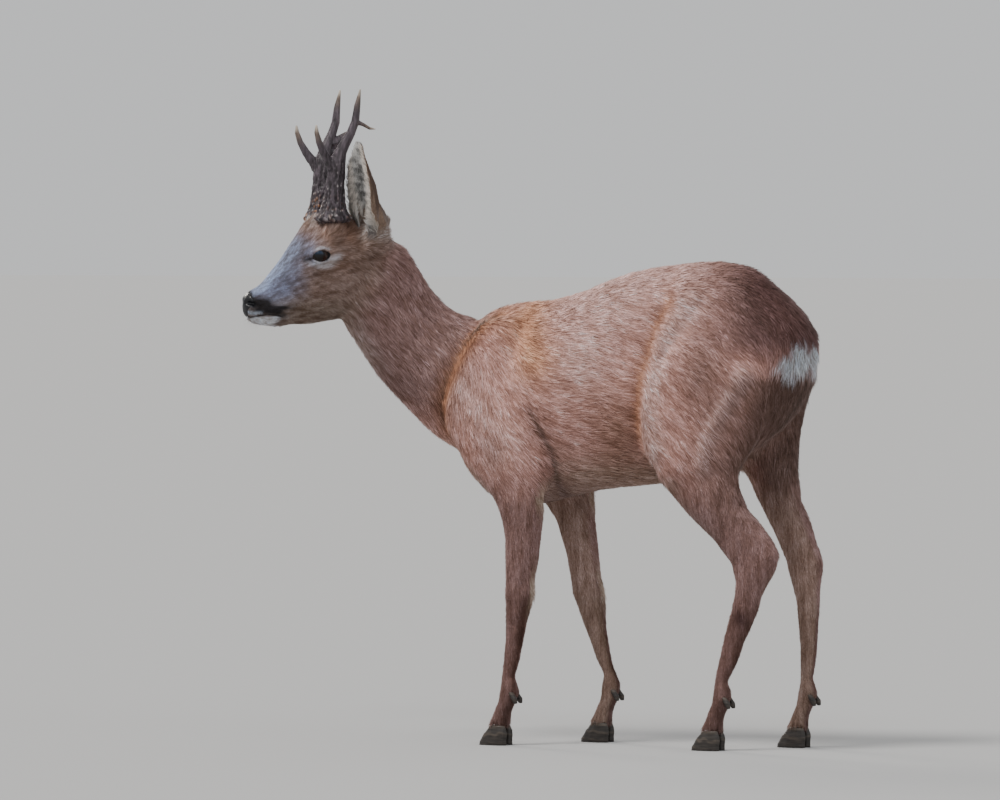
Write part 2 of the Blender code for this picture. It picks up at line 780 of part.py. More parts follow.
def part_body(rest):
    """Cuts the fused flesh into named pieces. What stays is the belly."""
    pieces = []
    head_way = head_point(0.888, 0, 0.459) - head_point(0, 0, 0)
    head = take(rest, half_space(head_point(*HEAD_CUT), head_way), "head")
    pieces.append(take(rest, half_space(NECK_CUT, NECK_WAY), "neck"))
    for leg, _, side, _, _ in LEGS:
        name, outline, depth, lean = UPPER_LEG[leg[:4]]
        pieces.append(take(rest, side_region(outline, side, depth, lean), f"{leg}_{name}"))
        pieces.extend(part_leg(rest, leg, side))
    bpy.data.objects.remove(take(rest, half_space((0, 0, HOOF_TOP + GAP), (0, 0, -1), 1.5), "soles"))
    pieces.append(take(rest, ellipsoid(*TAIL), "tail"))
    pieces.append(take(rest, half_space((CHEST_END, 0, 0.55), (-1, 0, 0)), "chest"))
    pieces.append(take(rest, half_space((RUMP_START, 0, 0.55), (1, 0, 0)), "rump"))
    rest.name = "belly"
    return head, [*pieces, rest]


def set_into(flesh, pieces):
    """Hollows flesh out to make room for pieces."""
    for piece in pieces:
        subtract(flesh, grown(piece))


def settle(objects):
    """Moves everything so that the origin is under the middle of the whole."""
    corners = np.array([v.co for obj in objects for v in obj.data.vertices])
    low, high = corners.min(0), corners.max(0)
    shift = Vector((-(low[0] + high[0]) / 2, -(low[1] + high[1]) / 2, -low[2]))
    for obj in objects:
        obj.data.transform(Matrix.Translation(shift))


def finish(objects):
    made = {name: material(name, *look) for name, look in MATERIALS.items()}
    for obj in objects:
        kind = next(kind for word, kind in FINISHES if word in obj.name)
        obj.data.materials.clear()
        obj.data.materials.append(made[kind])
        obj.data.shade_smooth()
        obj.data.set_sharp_from_angle(angle=math.radians(50))


def main():
    clear_scene()
    head, pieces = part_body(fused_flesh())
    nose = take(head, ellipsoid(head_point(*NOSE[0]), NOSE[1]), "nose")
    jaw = take(head, half_space(head_point(*JAW_CUT), JAW_WAY, 0.2), "jaw")
    antlers = antler(1, "left") + antler(-1, "right")
    eyes = [eyeball("eye_left", 1), eyeball("eye_right", -1)]
    ears = [ear("ear_left", *LEFT_EAR), ear("ear_right", *RIGHT_EAR)]
    beams = [obj for obj in antlers if obj.name.endswith("beam")]
    set_into(head, [*eyes, *ears, *beams])
    set_into(next(piece for piece in pieces if piece.name == "neck"), ears)
    hard_feet = feet()
    for leg, parts in hard_feet.items():
        pastern = next(piece for piece in pieces if piece.name == f"{leg}_pastern")
        set_into(pastern, [part for part in parts if "dewclaw" in part.name])
    feet_list = [obj for parts in hard_feet.values() for obj in parts]
    everything = [head, nose, jaw, *pieces, *antlers, *eyes, *ears, *feet_list]
    settle(everything)
    finish(everything)


main()
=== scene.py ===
"""The looks of a life-size roebuck: skin, coat, face, ears, antlers, hooves, light and camera.

The solids of the frame give every place and size. One skin is grown round the nodes of flesh
and lies inside them by the depth of the coat, which is tufts of real mesh. Lengths are in
metres, but the tables of places, blob() and near_line() have them in millimetres.
"""

import json
import math

import bmesh
import bpy
import numpy as np
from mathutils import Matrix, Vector, noise

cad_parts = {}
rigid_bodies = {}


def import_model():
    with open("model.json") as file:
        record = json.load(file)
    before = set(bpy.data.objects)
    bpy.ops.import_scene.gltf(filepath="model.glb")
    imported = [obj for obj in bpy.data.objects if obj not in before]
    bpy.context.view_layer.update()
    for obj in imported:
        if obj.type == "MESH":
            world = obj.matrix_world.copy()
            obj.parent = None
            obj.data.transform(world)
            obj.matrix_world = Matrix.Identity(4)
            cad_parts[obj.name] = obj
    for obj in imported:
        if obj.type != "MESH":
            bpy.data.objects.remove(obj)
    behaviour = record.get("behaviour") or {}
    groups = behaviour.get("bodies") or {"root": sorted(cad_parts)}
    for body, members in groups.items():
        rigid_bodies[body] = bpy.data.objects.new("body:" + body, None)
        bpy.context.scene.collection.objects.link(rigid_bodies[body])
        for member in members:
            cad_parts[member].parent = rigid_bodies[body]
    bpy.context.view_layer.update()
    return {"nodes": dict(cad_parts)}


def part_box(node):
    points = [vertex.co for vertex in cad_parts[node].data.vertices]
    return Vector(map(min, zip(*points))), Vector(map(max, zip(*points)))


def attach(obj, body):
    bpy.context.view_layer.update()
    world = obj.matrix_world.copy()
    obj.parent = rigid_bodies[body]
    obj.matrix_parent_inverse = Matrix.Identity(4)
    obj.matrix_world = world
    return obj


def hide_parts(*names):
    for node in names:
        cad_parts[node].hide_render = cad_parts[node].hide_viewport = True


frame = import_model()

RANDOM = np.random.default_rng(7)
UP = np.array([0.0, 0.0, 1.0])
SIDES = (1, -1)  # left, right


# ---- where things are
def sided(name, side):
    return name + ("_left" if side > 0 else "_right")


def mm(values):
    return np.array(values, float) / 1000


def middle(node):
    return np.add(*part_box(node)) / 2


def unit(v):
    return v / np.maximum(np.linalg.norm(v, axis=-1, keepdims=True), 1e-12)


# The head's own axes come from its eyes. The middle of the eyes is EYE_AHEAD of the head's zero.
EYE_AHEAD = 0.0885
EYE = {side: middle(sided("eye", side)) for side in SIDES}
LEFT = unit((EYE[1] - EYE[-1]) * [1, 1, 0])
AHEAD = np.cross(LEFT, UP)
HEAD_ZERO = ((EYE[1] + EYE[-1]) / 2 - AHEAD * EYE_AHEAD) * [1, 1, 0]
# The trunk's zero is the point that part.py measures its sections from.
TRUNK_ZERO = HEAD_ZERO + [0.362, 0.083, 0]


def to_head(points):
    """Points of the frame as forward, left and up in the head's axes."""
    p = points - HEAD_ZERO
    return np.stack([p @ AHEAD, p @ LEFT, p[..., 2]], -1)


def head_vector(v):
    v = np.asarray(v, float)
    return v[..., :1] * AHEAD + v[..., 1:2] * LEFT + v[..., 2:] * UP


def from_head(points):
    return HEAD_ZERO + head_vector(points)


def to_trunk(points):
    return points - TRUNK_ZERO


def in_axes(points):
    """Points of the frame in the trunk's axes and in the head's."""
    return to_trunk(points), to_head(points)


def head_side(h):
    """Distance in front of the plane that parts the head from the neck."""
    return 0.888 * (h[:, 0] - 0.0075) + 0.459 * (h[:, 2] - 0.7275)


def folded(points, side):
    """The points with those of one side of the middle plane mirrored to the other."""
    return points * [1, 0, 1] + np.abs(points) * [0, side, 0]


# ---- small tools
def ramp(low, high, value):
    """0 below low, 1 above high and smooth between. low may be the greater one."""
    t = np.clip((value - low) / (high - low), 0, 1)
    return t * t * (3 - 2 * t)


def bell(value, width):
    return np.exp(-((value / width) ** 2))


def blob(points, centre, radii):
    """1 at the centre, falling to 0 beyond the radii, which are in millimetres."""
    return np.exp(-(((points - mm(centre)) / mm(radii)) ** 2).sum(-1))


def near_line(points, line, width):
    """1 on a polyline, falling to 0 beyond width. Both are in millimetres.

    A line of two numbers per place is met by points of two numbers, as seen from the side.
    """
    line, nearest = mm(line), np.full(len(points), np.inf)
    for a, b in zip(line, line[1:]):
        along = np.clip(((points - a) @ (b - a)) / ((b - a) @ (b - a)), 0, 1)
        away = np.linalg.norm(points - a - along[:, None] * (b - a), axis=1)
        nearest = np.minimum(nearest, away)
    return bell(nearest, width / 1000)


WAVES = np.random.default_rng(3).normal(size=(10, 3))
PHASES = np.random.default_rng(4).uniform(0, 2 * math.pi, 10)


def ripple(points, size, seed=0):
    """Smooth noise from -1 to 1 with features of about size."""
    waves = np.roll(WAVES, seed, axis=1 if seed % 2 else 0)
    total = np.zeros(len(points))
    for k, phase in zip(waves, PHASES + seed):
        total += np.sin(points @ k * (2.2 / size) + phase * (seed + 1))
    return np.clip(total / 4.5, -1, 1)


def eased(value, *steps):
    """value drawn in turn towards the target of each step, by the step's amount."""
    for target, amount in steps:
        value = value + (target - value) * amount
    return value


def mixed(colour, *layers):
    """One colour or many, with layers laid over in turn. Each is a colour and an amount."""
    layers = [(np.array(other), amount[:, None]) for other, amount in layers]
    return eased(np.array(colour), *layers)


def add_object(name, data):
    obj = bpy.data.objects.new(name, data)
    bpy.context.scene.collection.objects.link(obj)
    return obj


def new_object(name, verts, faces):
    mesh = bpy.data.meshes.new(name)
    mesh.from_pydata([tuple(v) for v in verts], [], [tuple(f) for f in faces])
    mesh.shade_smooth()
    return add_object(name, mesh)


def new_mesh(name, make, **settings):
    """A mesh from one of the shapes that bmesh makes."""
    bm = bmesh.new()
    make(bm, **settings)
    mesh = bpy.data.meshes.new(name)
    bm.to_mesh(mesh)
    bm.free()
    return mesh


def dress(obj, look, slot, *nodes):
    """Gives a piece its material and body, and hides the nodes that it stands for. slot is not
    used.
    """
    obj.data.materials.append(look)
    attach(obj, "root")
    if nodes:
        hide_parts(*nodes)


def read(items, name, width, kind=np.float32):
    values = np.empty(len(items) * width, kind)
    items.foreach_get(name, values)
    return values.reshape(-1, width)


def positions(mesh):
    return read(mesh.vertices, "co", 3).astype(float)


def vertex_normals(mesh):
    return read(mesh.vertices, "normal", 3).astype(float)


def triangles(mesh):
    mesh.calc_loop_triangles()
    return read(mesh.loop_triangles, "vertices", 3, np.int32)


def set_positions(mesh, points):
    mesh.vertices.foreach_set("co", points.astype(np.float32).ravel())
    mesh.update()


def set_colours(mesh, colours):
    layer = mesh.attributes.new("coat", "FLOAT_COLOR", "POINT")
    rgba = np.ones((len(colours), 4), np.float32)
    rgba[:, :3] = np.clip(colours, 0, 1)
    layer.data.foreach_set("color", rgba.ravel())


def relax(mesh, weight, rounds, shrink=-0.53, values=None):
    """The mesh's points after turns of shrinking and swelling, so that the size stays.

    weight is one number or one per point. With values it smooths those over the mesh instead.
    """
    points = positions(mesh) if values is None else values
    a, b = read(mesh.edges, "vertices", 2, np.int32).T
    size, weight = len(points), np.broadcast_to(weight, len(points))[:, None]
    count = np.maximum(np.bincount(a, minlength=size) + np.bincount(b, minlength=size), 1)
    for turn in range(rounds * 2):
        total = [np.bincount(a, c[b], size) + np.bincount(b, c[a], size) for c in points.T]
        step = shrink if turn % 2 else 0.5
        points = points + (np.stack(total, -1) / count[:, None] - points) * step * weight
    return points


# ---- materials
def feed(tree, node, values):
    """Sets inputs of a node: sockets are linked and all else is a constant."""
    for name, value in values.items():
        if isinstance(value, bpy.types.NodeSocket):
            tree.links.new(value, node.inputs[name])
        else:
            node.inputs[name].default_value = value


def add_node(tree, kind, values=(), **settings):
    """The outputs of a new node."""
    node = tree.nodes.new("ShaderNode" + kind)
    for name, value in settings.items():
        setattr(node, name, value)
    feed(tree, node, dict(values))
    return node.outputs


def material(name, roughness, specular, colour=None):
    """A Principled material. Without a colour it takes that of the coat attribute."""
    made = bpy.data.materials.new(name)
    made.use_nodes = True
    tree = made.node_tree
    shader = tree.nodes["Principled BSDF"]
    if colour is None:
        base = add_node(tree, "Attribute", attribute_name="coat")["Color"]
    else:
        base = (*colour, 1)
    feed(tree, shader, {"Roughness": roughness, "Specular IOR Level": specular, "Base Color": base})
    return made, tree, shader


def add_bump(tree, shader, height, strength, distance):
    values = {"Strength": strength, "Distance": distance, "Height": height}
    feed(tree, shader, {"Normal": add_node(tree, "Bump", values)["Normal"]})


def grained(look, scale, detail, stretch, shades, bump=None):
    """Varies a material's colour, and its relief, by noise drawn out along an axis by stretch."""
    made, tree, shader = look
    place = add_node(tree, "TexCoord")["Object"]
    if stretch:
        place = add_node(tree, "Mapping", {"Scale": stretch, "Vector": place})["Vector"]
    grain = add_node(tree, "TexNoise", {"Scale": scale, "Detail": detail, "Vector": place})["Fac"]
    ranges = {"From Min": 0.3, "From Max": 0.7, "To Min": shades[0], "To Max": shades[1]}
    shade = add_node(tree, "MapRange", {**ranges, "Value": grain})["Result"]
    source = shader.inputs["Base Color"].links[0].from_socket
    values = {"Factor": 1, "A": source, "B": shade}
    mix = add_node(tree, "Mix", values, data_type="RGBA", blend_type="MULTIPLY")
    feed(tree, shader, {"Base Color": mix["Result"]})
    if bump:
        add_bump(tree, shader, grain, *bump)
    return made


def fur_material():
    look = material("fur", 0.62, 0.28)
    feed(look[1], look[2], {"Sheen Weight": 0.07, "Sheen Roughness": 0.45})
    return grained(look, 420, 2, None, (0.86, 1.12))


def nose_material():
    made, tree, shader = material("nose_leather", 0.30, 0.42, (0.005, 0.005, 0.007))
    place = add_node(tree, "TexCoord")["Object"]
    pebbles = add_node(tree, "TexVoronoi", {"Scale": 1100, "Vector": place})
    add_bump(tree, shader, pebbles["Distance"], 0.28, 0.0004)
    return made


# ---- the skin
NOT_FLESH = ("eye", "antler", "ear", "hoof", "dewclaw")
FLESH = [name for name in frame["nodes"] if not set(NOT_FLESH) & set(name.split("_"))]
SKIN_VOXEL = 0.0045
# Depth of the coat: from the tips of the hair down to the skin.
TRUNK_DEPTH = 0.0034
LEG_DEPTH = 0.0013
HEAD_DEPTH = 0.0022
FACE_DEPTH = 0.0010
PATCH_DEPTH = 0.003
EYE_RADIUS = np.subtract(*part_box("eye_left"))[2] / -2
# Swellings that fill the roots of the antlers and ears: place in the head's axes, radius.
ROOTS = [
    ((63, 27.5, 794), 21.5),
    ((-1, 29.5, 774), 26.5),
    ((-3, 31, 786), 24),
    ((-5, 33, 797), 20.5),
    ((-12, 29, 777), 21),
]


def filler(centre, radius):
    mesh = new_mesh("filler", bmesh.ops.create_icosphere, subdivisions=3, radius=radius)
    set_positions(mesh, positions(mesh) + centre)
    return mesh


def fused(name, meshes, voxel):
    """An object that wraps all of meshes in faces of the size of voxel, and its mesh."""
    bm = bmesh.new()
    for mesh in meshes:
        bm.from_mesh(mesh)
    joined = bpy.data.meshes.new(name)
    bm.to_mesh(joined)
    bm.free()
    obj = add_object(name, joined)
    wrap = obj.modifiers.new("wrap", "REMESH")
    wrap.mode = "VOXEL"
    wrap.voxel_size = voxel
    graph = bpy.context.evaluated_depsgraph_get()
    mesh = bpy.data.meshes.new_from_object(obj.evaluated_get(graph))
    obj.modifiers.clear()
    obj.data = mesh
    mesh.shade_smooth()
    return obj, mesh


def solids(*names):
    return [bpy.data.objects[name].data for name in names]


def coat_depth(points):
    """How far the skin lies inside the tips of the coat."""
    p, h = in_axes(points)
    head = ramp(-0.02, 0.04, head_side(h))
    legs = (LEG_DEPTH, ramp(0.42, 0.34, p[:, 2]))
    face = (FACE_DEPTH, ramp(0.04, 0.12, h[:, 0]) * head)
    return eased(TRUNK_DEPTH, legs, (HEAD_DEPTH, head), face) + PATCH_DEPTH * rump_patch(p)


def rump_patch(p):
    """1 on the kidney-shaped pale patch round the tail."""
    side = np.abs(p[:, 1])
    ragged = 0.007 * ripple(p, 0.013, 8)
    outward = np.maximum(side - 0.028, 0)
    height = np.abs(p[:, 2] - 0.6050 + 0.28 * outward + ragged)
    notch = 0.008 * bell(side, 0.012)
    tall = ramp(0.0335, 0.0150, height + 0.16 * outward + 6.0 * outward**2 + notch)
    wide = ramp(0.086, 0.052, side + ragged)
    return tall * wide * ramp(0.290, 0.304, p[:, 0])


def refine(mesh, chosen):
    """Splits each face whose points are all chosen into four."""
    bm = bmesh.new()
    bm.from_mesh(mesh)
    flags = chosen(to_head(positions(mesh)))
    edges = [e for e in bm.edges if all(flags[v.index] for v in e.verts)]
    bmesh.ops.subdivide_edges(bm, edges=edges, cuts=1, use_grid_fill=True)
    bm.to_mesh(mesh)
    bm.free()


def make_skin():
    meshes = solids(*FLESH)
    meshes += [filler(EYE[side], EYE_RADIUS) for side in SIDES]
    for (f, left, up), radius in ROOTS:
        meshes += [filler(from_head(mm([f, side * left, up])), radius / 1000) for side in SIDES]
    obj, mesh = fused("skin", meshes, SKIN_VOXEL)
    p, h = in_axes(positions(mesh))
    fine = np.maximum(ramp(-0.01, 0.02, head_side(h)), ramp(0.42, 0.34, p[:, 2]))
    points = relax(mesh, 1 - 0.55 * fine, 35)
    set_positions(mesh, points)
    normals = relax(mesh, 1, 3, 0.5, vertex_normals(mesh))
    points -= unit(normals) * coat_depth(points)[:, None]
    sole = p[:, 2] < 0.034
    points[sole, 2] = np.maximum(points[sole, 2], 0.030)
    set_positions(mesh, relax(mesh, 0.6, 2, values=points))
    refine(mesh, lambda h: head_side(h) > -0.004)
    set_positions(mesh, relax(mesh, ramp(-0.03, 0.0, head_side(to_head(positions(mesh)))), 6))
    refine(mesh, fine_face)
    tip = ramp(0.178, 0.190, to_head(positions(mesh))[:, 0])
    points = relax(mesh, tip, 22, 0.0)  # rounds the nose
    set_positions(mesh, points)
    set_positions(mesh, points + vertex_normals(mesh) * (0.0017 * tip)[:, None])
    sculpt(mesh)
    return obj


def fine_face(h):
    eye = np.hypot(h[:, 0] - 0.0895, h[:, 2] - 0.7592) < 0.027
    return (eye & (np.abs(h[:, 1]) > EYE_SIDE[0])) | (h[:, 0] > 0.135)


# ---- sculpting
# Swells and hollows of the trunk: centre on the left side, radii, height.
TRUNK_FORMS = [
    ((75, -90, 620), (30, 60, 50), -5),  # flank
    ((168, -72, 705), (28, 40, 20), 4),  # point of the hip
    ((-150, -60, 640), (24, 40, 45), 4),  # shoulder blade
    ((-110, -60, 640), (14, 40, 45), -3),  # behind its ridge
    ((-215, -60, 505), (24, 40, 30), 4),  # point of the shoulder
    ((-100, -95, 480), (30, 40, 45), 6),  # triceps
    ((-148, -85, 458), (20, 40, 28), -5),  # hollow of the upper arm
    ((-120, -95, 420), (26, 40, 22), 3),  # root of the forearm
    ((185, -110, 580), (55, 50, 60), 3),  # thigh
    ((262, -80, 490), (22, 50, 50), -4),  # behind the thigh
    ((160, -100, 430), (22, 40, 22), 4),  # stifle
]
# Folds seen from the side: lines of x and z.
SHOULDER_GROOVE = [
    (-172, 662), (-195, 640), (-213, 612), (-225, 585), (-238, 558), (-245, 530), (-246, 500),
]
FLANK_LINE = [(140, 690), (122, 655), (110, 612), (98, 570), (94, 520), (98, 473), (120, 432)]
THIGH_RIDGE = [(182, 690), (146, 645), (130, 600), (121, 560), (120, 510), (132, 465)]
HAM_RIDGE = [(280, 580), (253, 535), (222, 480), (212, 440)]
ELBOW_LINE = [(-82, 520), (-64, 484), (-51, 455), (-51, 426), (-58, 385)]
# Width and height of the folds.
CREASES = [
    (SHOULDER_GROOVE, 15, -3.8),
    (FLANK_LINE, 15, -4.2),
    (THIGH_RIDGE, 12, 3.2),
    (HAM_RIDGE, 10, 2.8),
    (ELBOW_LINE, 13, -5),
]
HOCK_FORMS = [
    # Leg, then height, forward and outward shifts, radii, height of the form.
    ("hindleg", 330, 10, 0, (10, 30, 35), -2.2),  # before the tendon
    ("hindleg", 272, -8, 10, (10, 12, 12), 1.8),  # side of the hock
    ("hindleg", 210, 6, 8, (8, 12, 14), 1.2),  # gland below the hock
    ("foreleg", 236, 0, 10, (14, 12, 14), 1.2),  # knee
    ("foreleg", 236, -14, 0, (10, 20, 14), 1.4),  # front of the knee
    ("foreleg", 180, 6, 6, (4, 12, 40), -1),  # before the tendon
    ("hindleg", 170, 6, 6, (4, 12, 40), -1),  # before the tendon
]
# Swells and hollows of the head: forward, left, up, radius, height. Mirrored.
HEAD_FORMS = [
    ((86, 42, 776.5), 12, 3.2),  # brow
    ((64, 44, 768), 12, 1.8),  # rear rim of the orbit
    ((98, 38, 738), 13, 2),  # cheek bone
    ((118, 32, 748), 10, -1.6),  # hollow before the eye
    ((128, 28, 712), 16, -1.8),  # hollow of the cheek
    ((150, 20, 728), 14, 0.8),  # side of the bridge
    ((45, 45, 700), 26, 3),  # jaw muscle
    ((15, 40, 715), 16, -2.2),  # behind the jaw
    ((35, 40, 780), 18, -2),  # temple
    ((187, 16.5, 697), 7, 1.3),  # upper wing of the nostril
    ((192, 15, 677), 6, 0.9),  # lower wing of the nostril
    ((172, 20, 676), 9, 1.3),  # upper lip
    ((165, 14, 655), 9, 1),  # lower lip
    ((182, 0, 655), 8, 1),  # chin
]
EYE_TILT = math.radians(-8)
EYE_HALF = (0.0134, 0.0080)
EYE_MIDDLE = (0.0872, 0.7580)
EYE_SIDE = (0.02, 0.03)  # the eyes lie further out than this
MOUTH_LINE = [(200, 662.5), (190, 664), (168, 668), (152, 666), (146, 664)]
NOSTRIL = (0.1930, 0.0125, 0.6840)
NOSTRIL_TILT = math.radians(24)


def turned(forward, up, angle):
    """Lengths along an axis that rises by angle, and across it."""
    sine, cosine = math.sin(angle), math.cos(angle)
    return forward * cosine + up * sine, up * cosine - forward * sine


def eye_opening(h, grow=0.0):
    """Below 1 within the almond-shaped opening of the lids. Places are in the head's axes."""
    along, across = turned(h[:, 0] - EYE_MIDDLE[0], h[:, 2] - EYE_MIDDLE[1], EYE_TILT)
    along, across = np.abs(along) / (EYE_HALF[0] + grow), np.abs(across) / (EYE_HALF[1] + grow)
    return (along**1.7 + across**1.7) ** (1 / 1.7)


def nostril_depth(h):
    forward, out, up = (folded(h, 1) - NOSTRIL).T
    along, across = turned(forward, up, NOSTRIL_TILT)
    across = across + 20 * along**2
    return np.exp(-((along / 0.0074) ** 4) - (across / 0.0034) ** 4 - (out / 0.009) ** 4)


def leg_forms(points, p):
    """Swells and hollows along each leg, set out from its own middle line."""
    push, nearest = np.zeros(len(points)), nearest_leg(points)
    for number, leg in enumerate(LEG_NAMES):
        side = 1 if leg.endswith("left") else -1
        for kind, height, back, out, radii, size in HOCK_FORMS:
            if leg.startswith(kind):
                x, y = leg_axis(leg, mm([height]))[0] * 1000
                form = blob(p, (x + back, y - side * out, height), radii)
                push += size / 1000 * form * (nearest == number)
    return push * ramp(0.44, 0.38, p[:, 2])


def sculpt(mesh):
    points, normals = positions(mesh), vertex_normals(mesh)
    p, h = in_axes(points)
    left, seen, profile = folded(p, -1), p[:, [0, 2]], h[:, [0, 2]]
    push = np.zeros(len(points))
    for centre, radii, height in TRUNK_FORMS:
        push += height / 1000 * blob(left, centre, radii)
    for line, width, height in CREASES:
        push += height / 1000 * near_line(seen, line, width)
    push *= ramp(0.02, 0.05, -left[:, 1]) * ramp(-0.30, -0.24, p[:, 0])
    push += leg_forms(points, p)
    head = ramp(-0.03, 0.0, head_side(h))
    for centre, radius, height in HEAD_FORMS:
        push += height / 1000 * blob(folded(h, 1), centre, [radius] * 3) * head
    front = ramp(0.135, 0.15, h[:, 0])
    push -= 0.0022 * near_line(profile, MOUTH_LINE, 1.3) * front
    push += 0.0006 * near_line(profile + [0, 0.0035], MOUTH_LINE, 2.2) * front
    push -= 0.0060 * nostril_depth(h)
    cleft = bell(h[:, 1], 0.0008) * ramp(0.697, 0.690, h[:, 2]) * ramp(0.190, 0.196, h[:, 0])
    push -= 0.0015 * cleft
    points += normals * push[:, None]
    opening = eye_opening(h)
    lid = EYE_RADIUS + 0.0004 + 0.0012 * ramp(1.0, 1.3, opening)
    fold = ramp(2.5, 1.2, opening)
    for side in SIDES:
        away = points - EYE[side]
        reach = np.linalg.norm(away, axis=1)
        near = (reach < 0.034) & (h[:, 1] * side > EYE_SIDE[0]) & (opening < 2.6)
        inside = near & (opening < 1)
        outside = near & (opening >= 1)
        pulled = lid + (reach - lid) * (1 - fold)
        target = reach.copy()
        target[inside] = np.minimum(reach[inside], EYE_RADIUS - 0.0022)
        target[outside] = np.maximum(pulled, np.where(opening < 1.9, lid, 0))[outside]
        points = EYE[side] + away * (target / np.maximum(reach, 1e-9))[:, None]
    set_positions(mesh, points)


# ---- markings, with painted highlights and shade
TAN = (0.610, 0.332, 0.280)
# Pale pink laid on as painted highlights: the lit top of the back, the ribs, the thigh and ham
# ridges and the upper arm.
PAINTED_HIGHLIGHT = (0.790, 0.520, 0.475)
# Dark brown laid on as painted shade where the lower flank curves under, before the thigh.
PAINTED_SHADE_BROWN = (0.250, 0.125, 0.072)
BACK = (0.270, 0.150, 0.125)
RUMP_CAP = (0.060, 0.024, 0.023)
BELLY = (0.470, 0.330, 0.250)
LEG = (0.198, 0.121, 0.112)
# The red-brown of the backs of the legs, also laid low on all legs, partly as painted shade.
LEG_REAR_AND_SHADE = (0.090, 0.038, 0.026)
SHADE = (0.050, 0.031, 0.021)
RUST = (0.370, 0.150, 0.062)
PALE_PATCH = (0.56, 0.59, 0.64)
FRINGE = (0.56, 0.43, 0.32)
FACE = (0.262, 0.174, 0.140)
FOREHEAD = (0.285, 0.165, 0.118)
BRIDGE = (0.245, 0.278, 0.390)
MUZZLE = (0.180, 0.202, 0.300)
JAW = (0.240, 0.180, 0.142)
BLACK = (0.012, 0.011, 0.012)
CHIN = (0.70, 0.71, 0.76)
DARK_LIP = (0.020, 0.016, 0.017)
UPPER_LIP = (0.42, 0.46, 0.54)
NECK = (0.234, 0.143, 0.130)
ORANGE = (0.600, 0.275, 0.130)
ROOT_FLUFF = (0.60, 0.57, 0.57)
EYE_RING = (0.50, 0.48, 0.51)
THROAT = (0.470, 0.370, 0.330)
# Darker hairs are redder and paler ones greyer: powers of the tone for red, green and blue.
WARM_SHADE = np.array([1.0, 1.22, 1.42])


def streaks(points, size, seed):
    """Noise from -1 to 1 in streaks that follow the coat."""
    head = head_side(to_head(points)) > 0
    low = ~head & (points[:, 2] < 0.42)
    total = np.empty(len(points))
    trunk_way, head_way = unit(np.array([0.92, 0, -0.39])), head_vector((-0.95, 0, 0.31))
    for way, mine in ((trunk_way, ~head & ~low), (head_way, head), (UP, low)):
        q = points[mine]
        total[mine] = ripple(q - 0.86 * (q @ way)[:, None] * way, size, seed)
    return total


def markings(points, normals):
    """The coat's colour, with its painted highlights and shade, for skin and tufts alike."""
    p, h = in_axes(points)
    x, y, z = p.T
    side, seen = np.abs(y), p[:, [0, 2]]
    blotch = 0.5 + 0.5 * ripple(points, 0.09, 1)
    cap = ramp(0.150, 0.300, x + 0.25 * (z - 0.66)) * ramp(0.580, 0.640, z)
    colour = mixed(
        TAN,
        (NECK, 0.84 * ramp(-0.160, -0.235, x) * ramp(0.47, 0.56, z)),
        # Painted highlights in pale pink: the lit top of the back, the ribs, the thigh and ham
        # ridges and the front of the upper arm.
        (PAINTED_HIGHLIGHT, 0.55 * near_line(seen, [(-40, 690), (140, 725)], 60) * (0.5 + 0.5 * blotch)),
        (PAINTED_HIGHLIGHT, 0.50 * blob(seen, (0, 600), (45, 55))),
        (PAINTED_HIGHLIGHT, 0.8 * near_line(seen, THIGH_RIDGE, 22)),
        (PAINTED_HIGHLIGHT, 0.7 * near_line(seen, HAM_RIDGE, 14)),
        (PAINTED_HIGHLIGHT, 0.42 * near_line(seen, [(-200, 560), (-130, 470)], 35)),
        (SHADE, 0.56 * blob(seen, (212, 580), (38, 64))),
        (BACK, 0.55 * ramp(0.66, 0.72, z) * ramp(0.12, 0.20, x) * blotch),
        (BACK, 0.4 * ramp(0.45, 1.0, normals[:, 2]) * ramp(0.55, 0.68, z)),
        (BELLY, 0.8 * ramp(0.2, 0.8, -normals[:, 2]) * ramp(0.50, 0.42, z)),
        (RUST, 0.76 * near_line(seen - [0.004, 0], SHOULDER_GROOVE, 19)),
        (SHADE, 0.55 * near_line(seen + [0.004, 0], SHOULDER_GROOVE, 4.5)),
        (ORANGE, 0.70 * near_line(seen, [(-115, 665), (-80, 600)], 34)),
        # Painted shade: dark brown on the lower flank before the thigh.
        (PAINTED_SHADE_BROWN, 0.62 * blob(seen, (60, 485), (44, 62))),
        (RUST, 0.70 * near_line(seen, FLANK_LINE, 13) * ramp(0.45, 0.50, z)),
        (SHADE, 0.35 * near_line(seen, ELBOW_LINE, 12)),
        (SHADE, 0.60 * near_line(seen, ELBOW_LINE, 5)),
        (SHADE, 0.50 * blob(seen, (-145, 450), (25, 32))),
        (RUMP_CAP, 0.88 * cap * ramp(0.124, 0.086, side)),
        *leg_layers(p, normals),
    )
    shaded = ramp(0.170, 0.330, x - 0.35 * (z - 0.5)) * ramp(0.600, 0.570, z)
    parting = bell(y, 0.0030) * ramp(0.605, 0.590, z) * ramp(0.28, 0.30, x)
    facing_down = ramp(0.35, 0.9, -normals[:, 2] + normals @ AHEAD * 0.4)
    colour = mixed(
        colour,
        (SHADE, 0.88 * shaded * ramp(0.330, 0.450, z) * ramp(-0.7, 0.2, normals[:, 0])),
        (PALE_PATCH, 0.95 * rump_patch(p)),
        (SHADE, 0.7 * parting),
        (THROAT, 0.5 * facing_down * ramp(-0.12, -0.03, head_side(h))),
    )
    head = ramp(-0.035, 0.01, head_side(h))[:, None]
    colour = eased(colour, (face_colour(points, normals, h), head))
    fine = 0.26 + 0.16 * ramp(-0.03, 0.02, head_side(h))  # the head's streaks are stronger: partly the coat's own streaks, partly painted shade in the fine creases of the cheek
    lively = 1 + fine * streaks(points, 0.0040, 9) + 0.12 * streaks(points, 0.014, 5)
    return colour * lively[:, None] ** WARM_SHADE


def is_fore(p):
    return p[:, 0] < 0.08


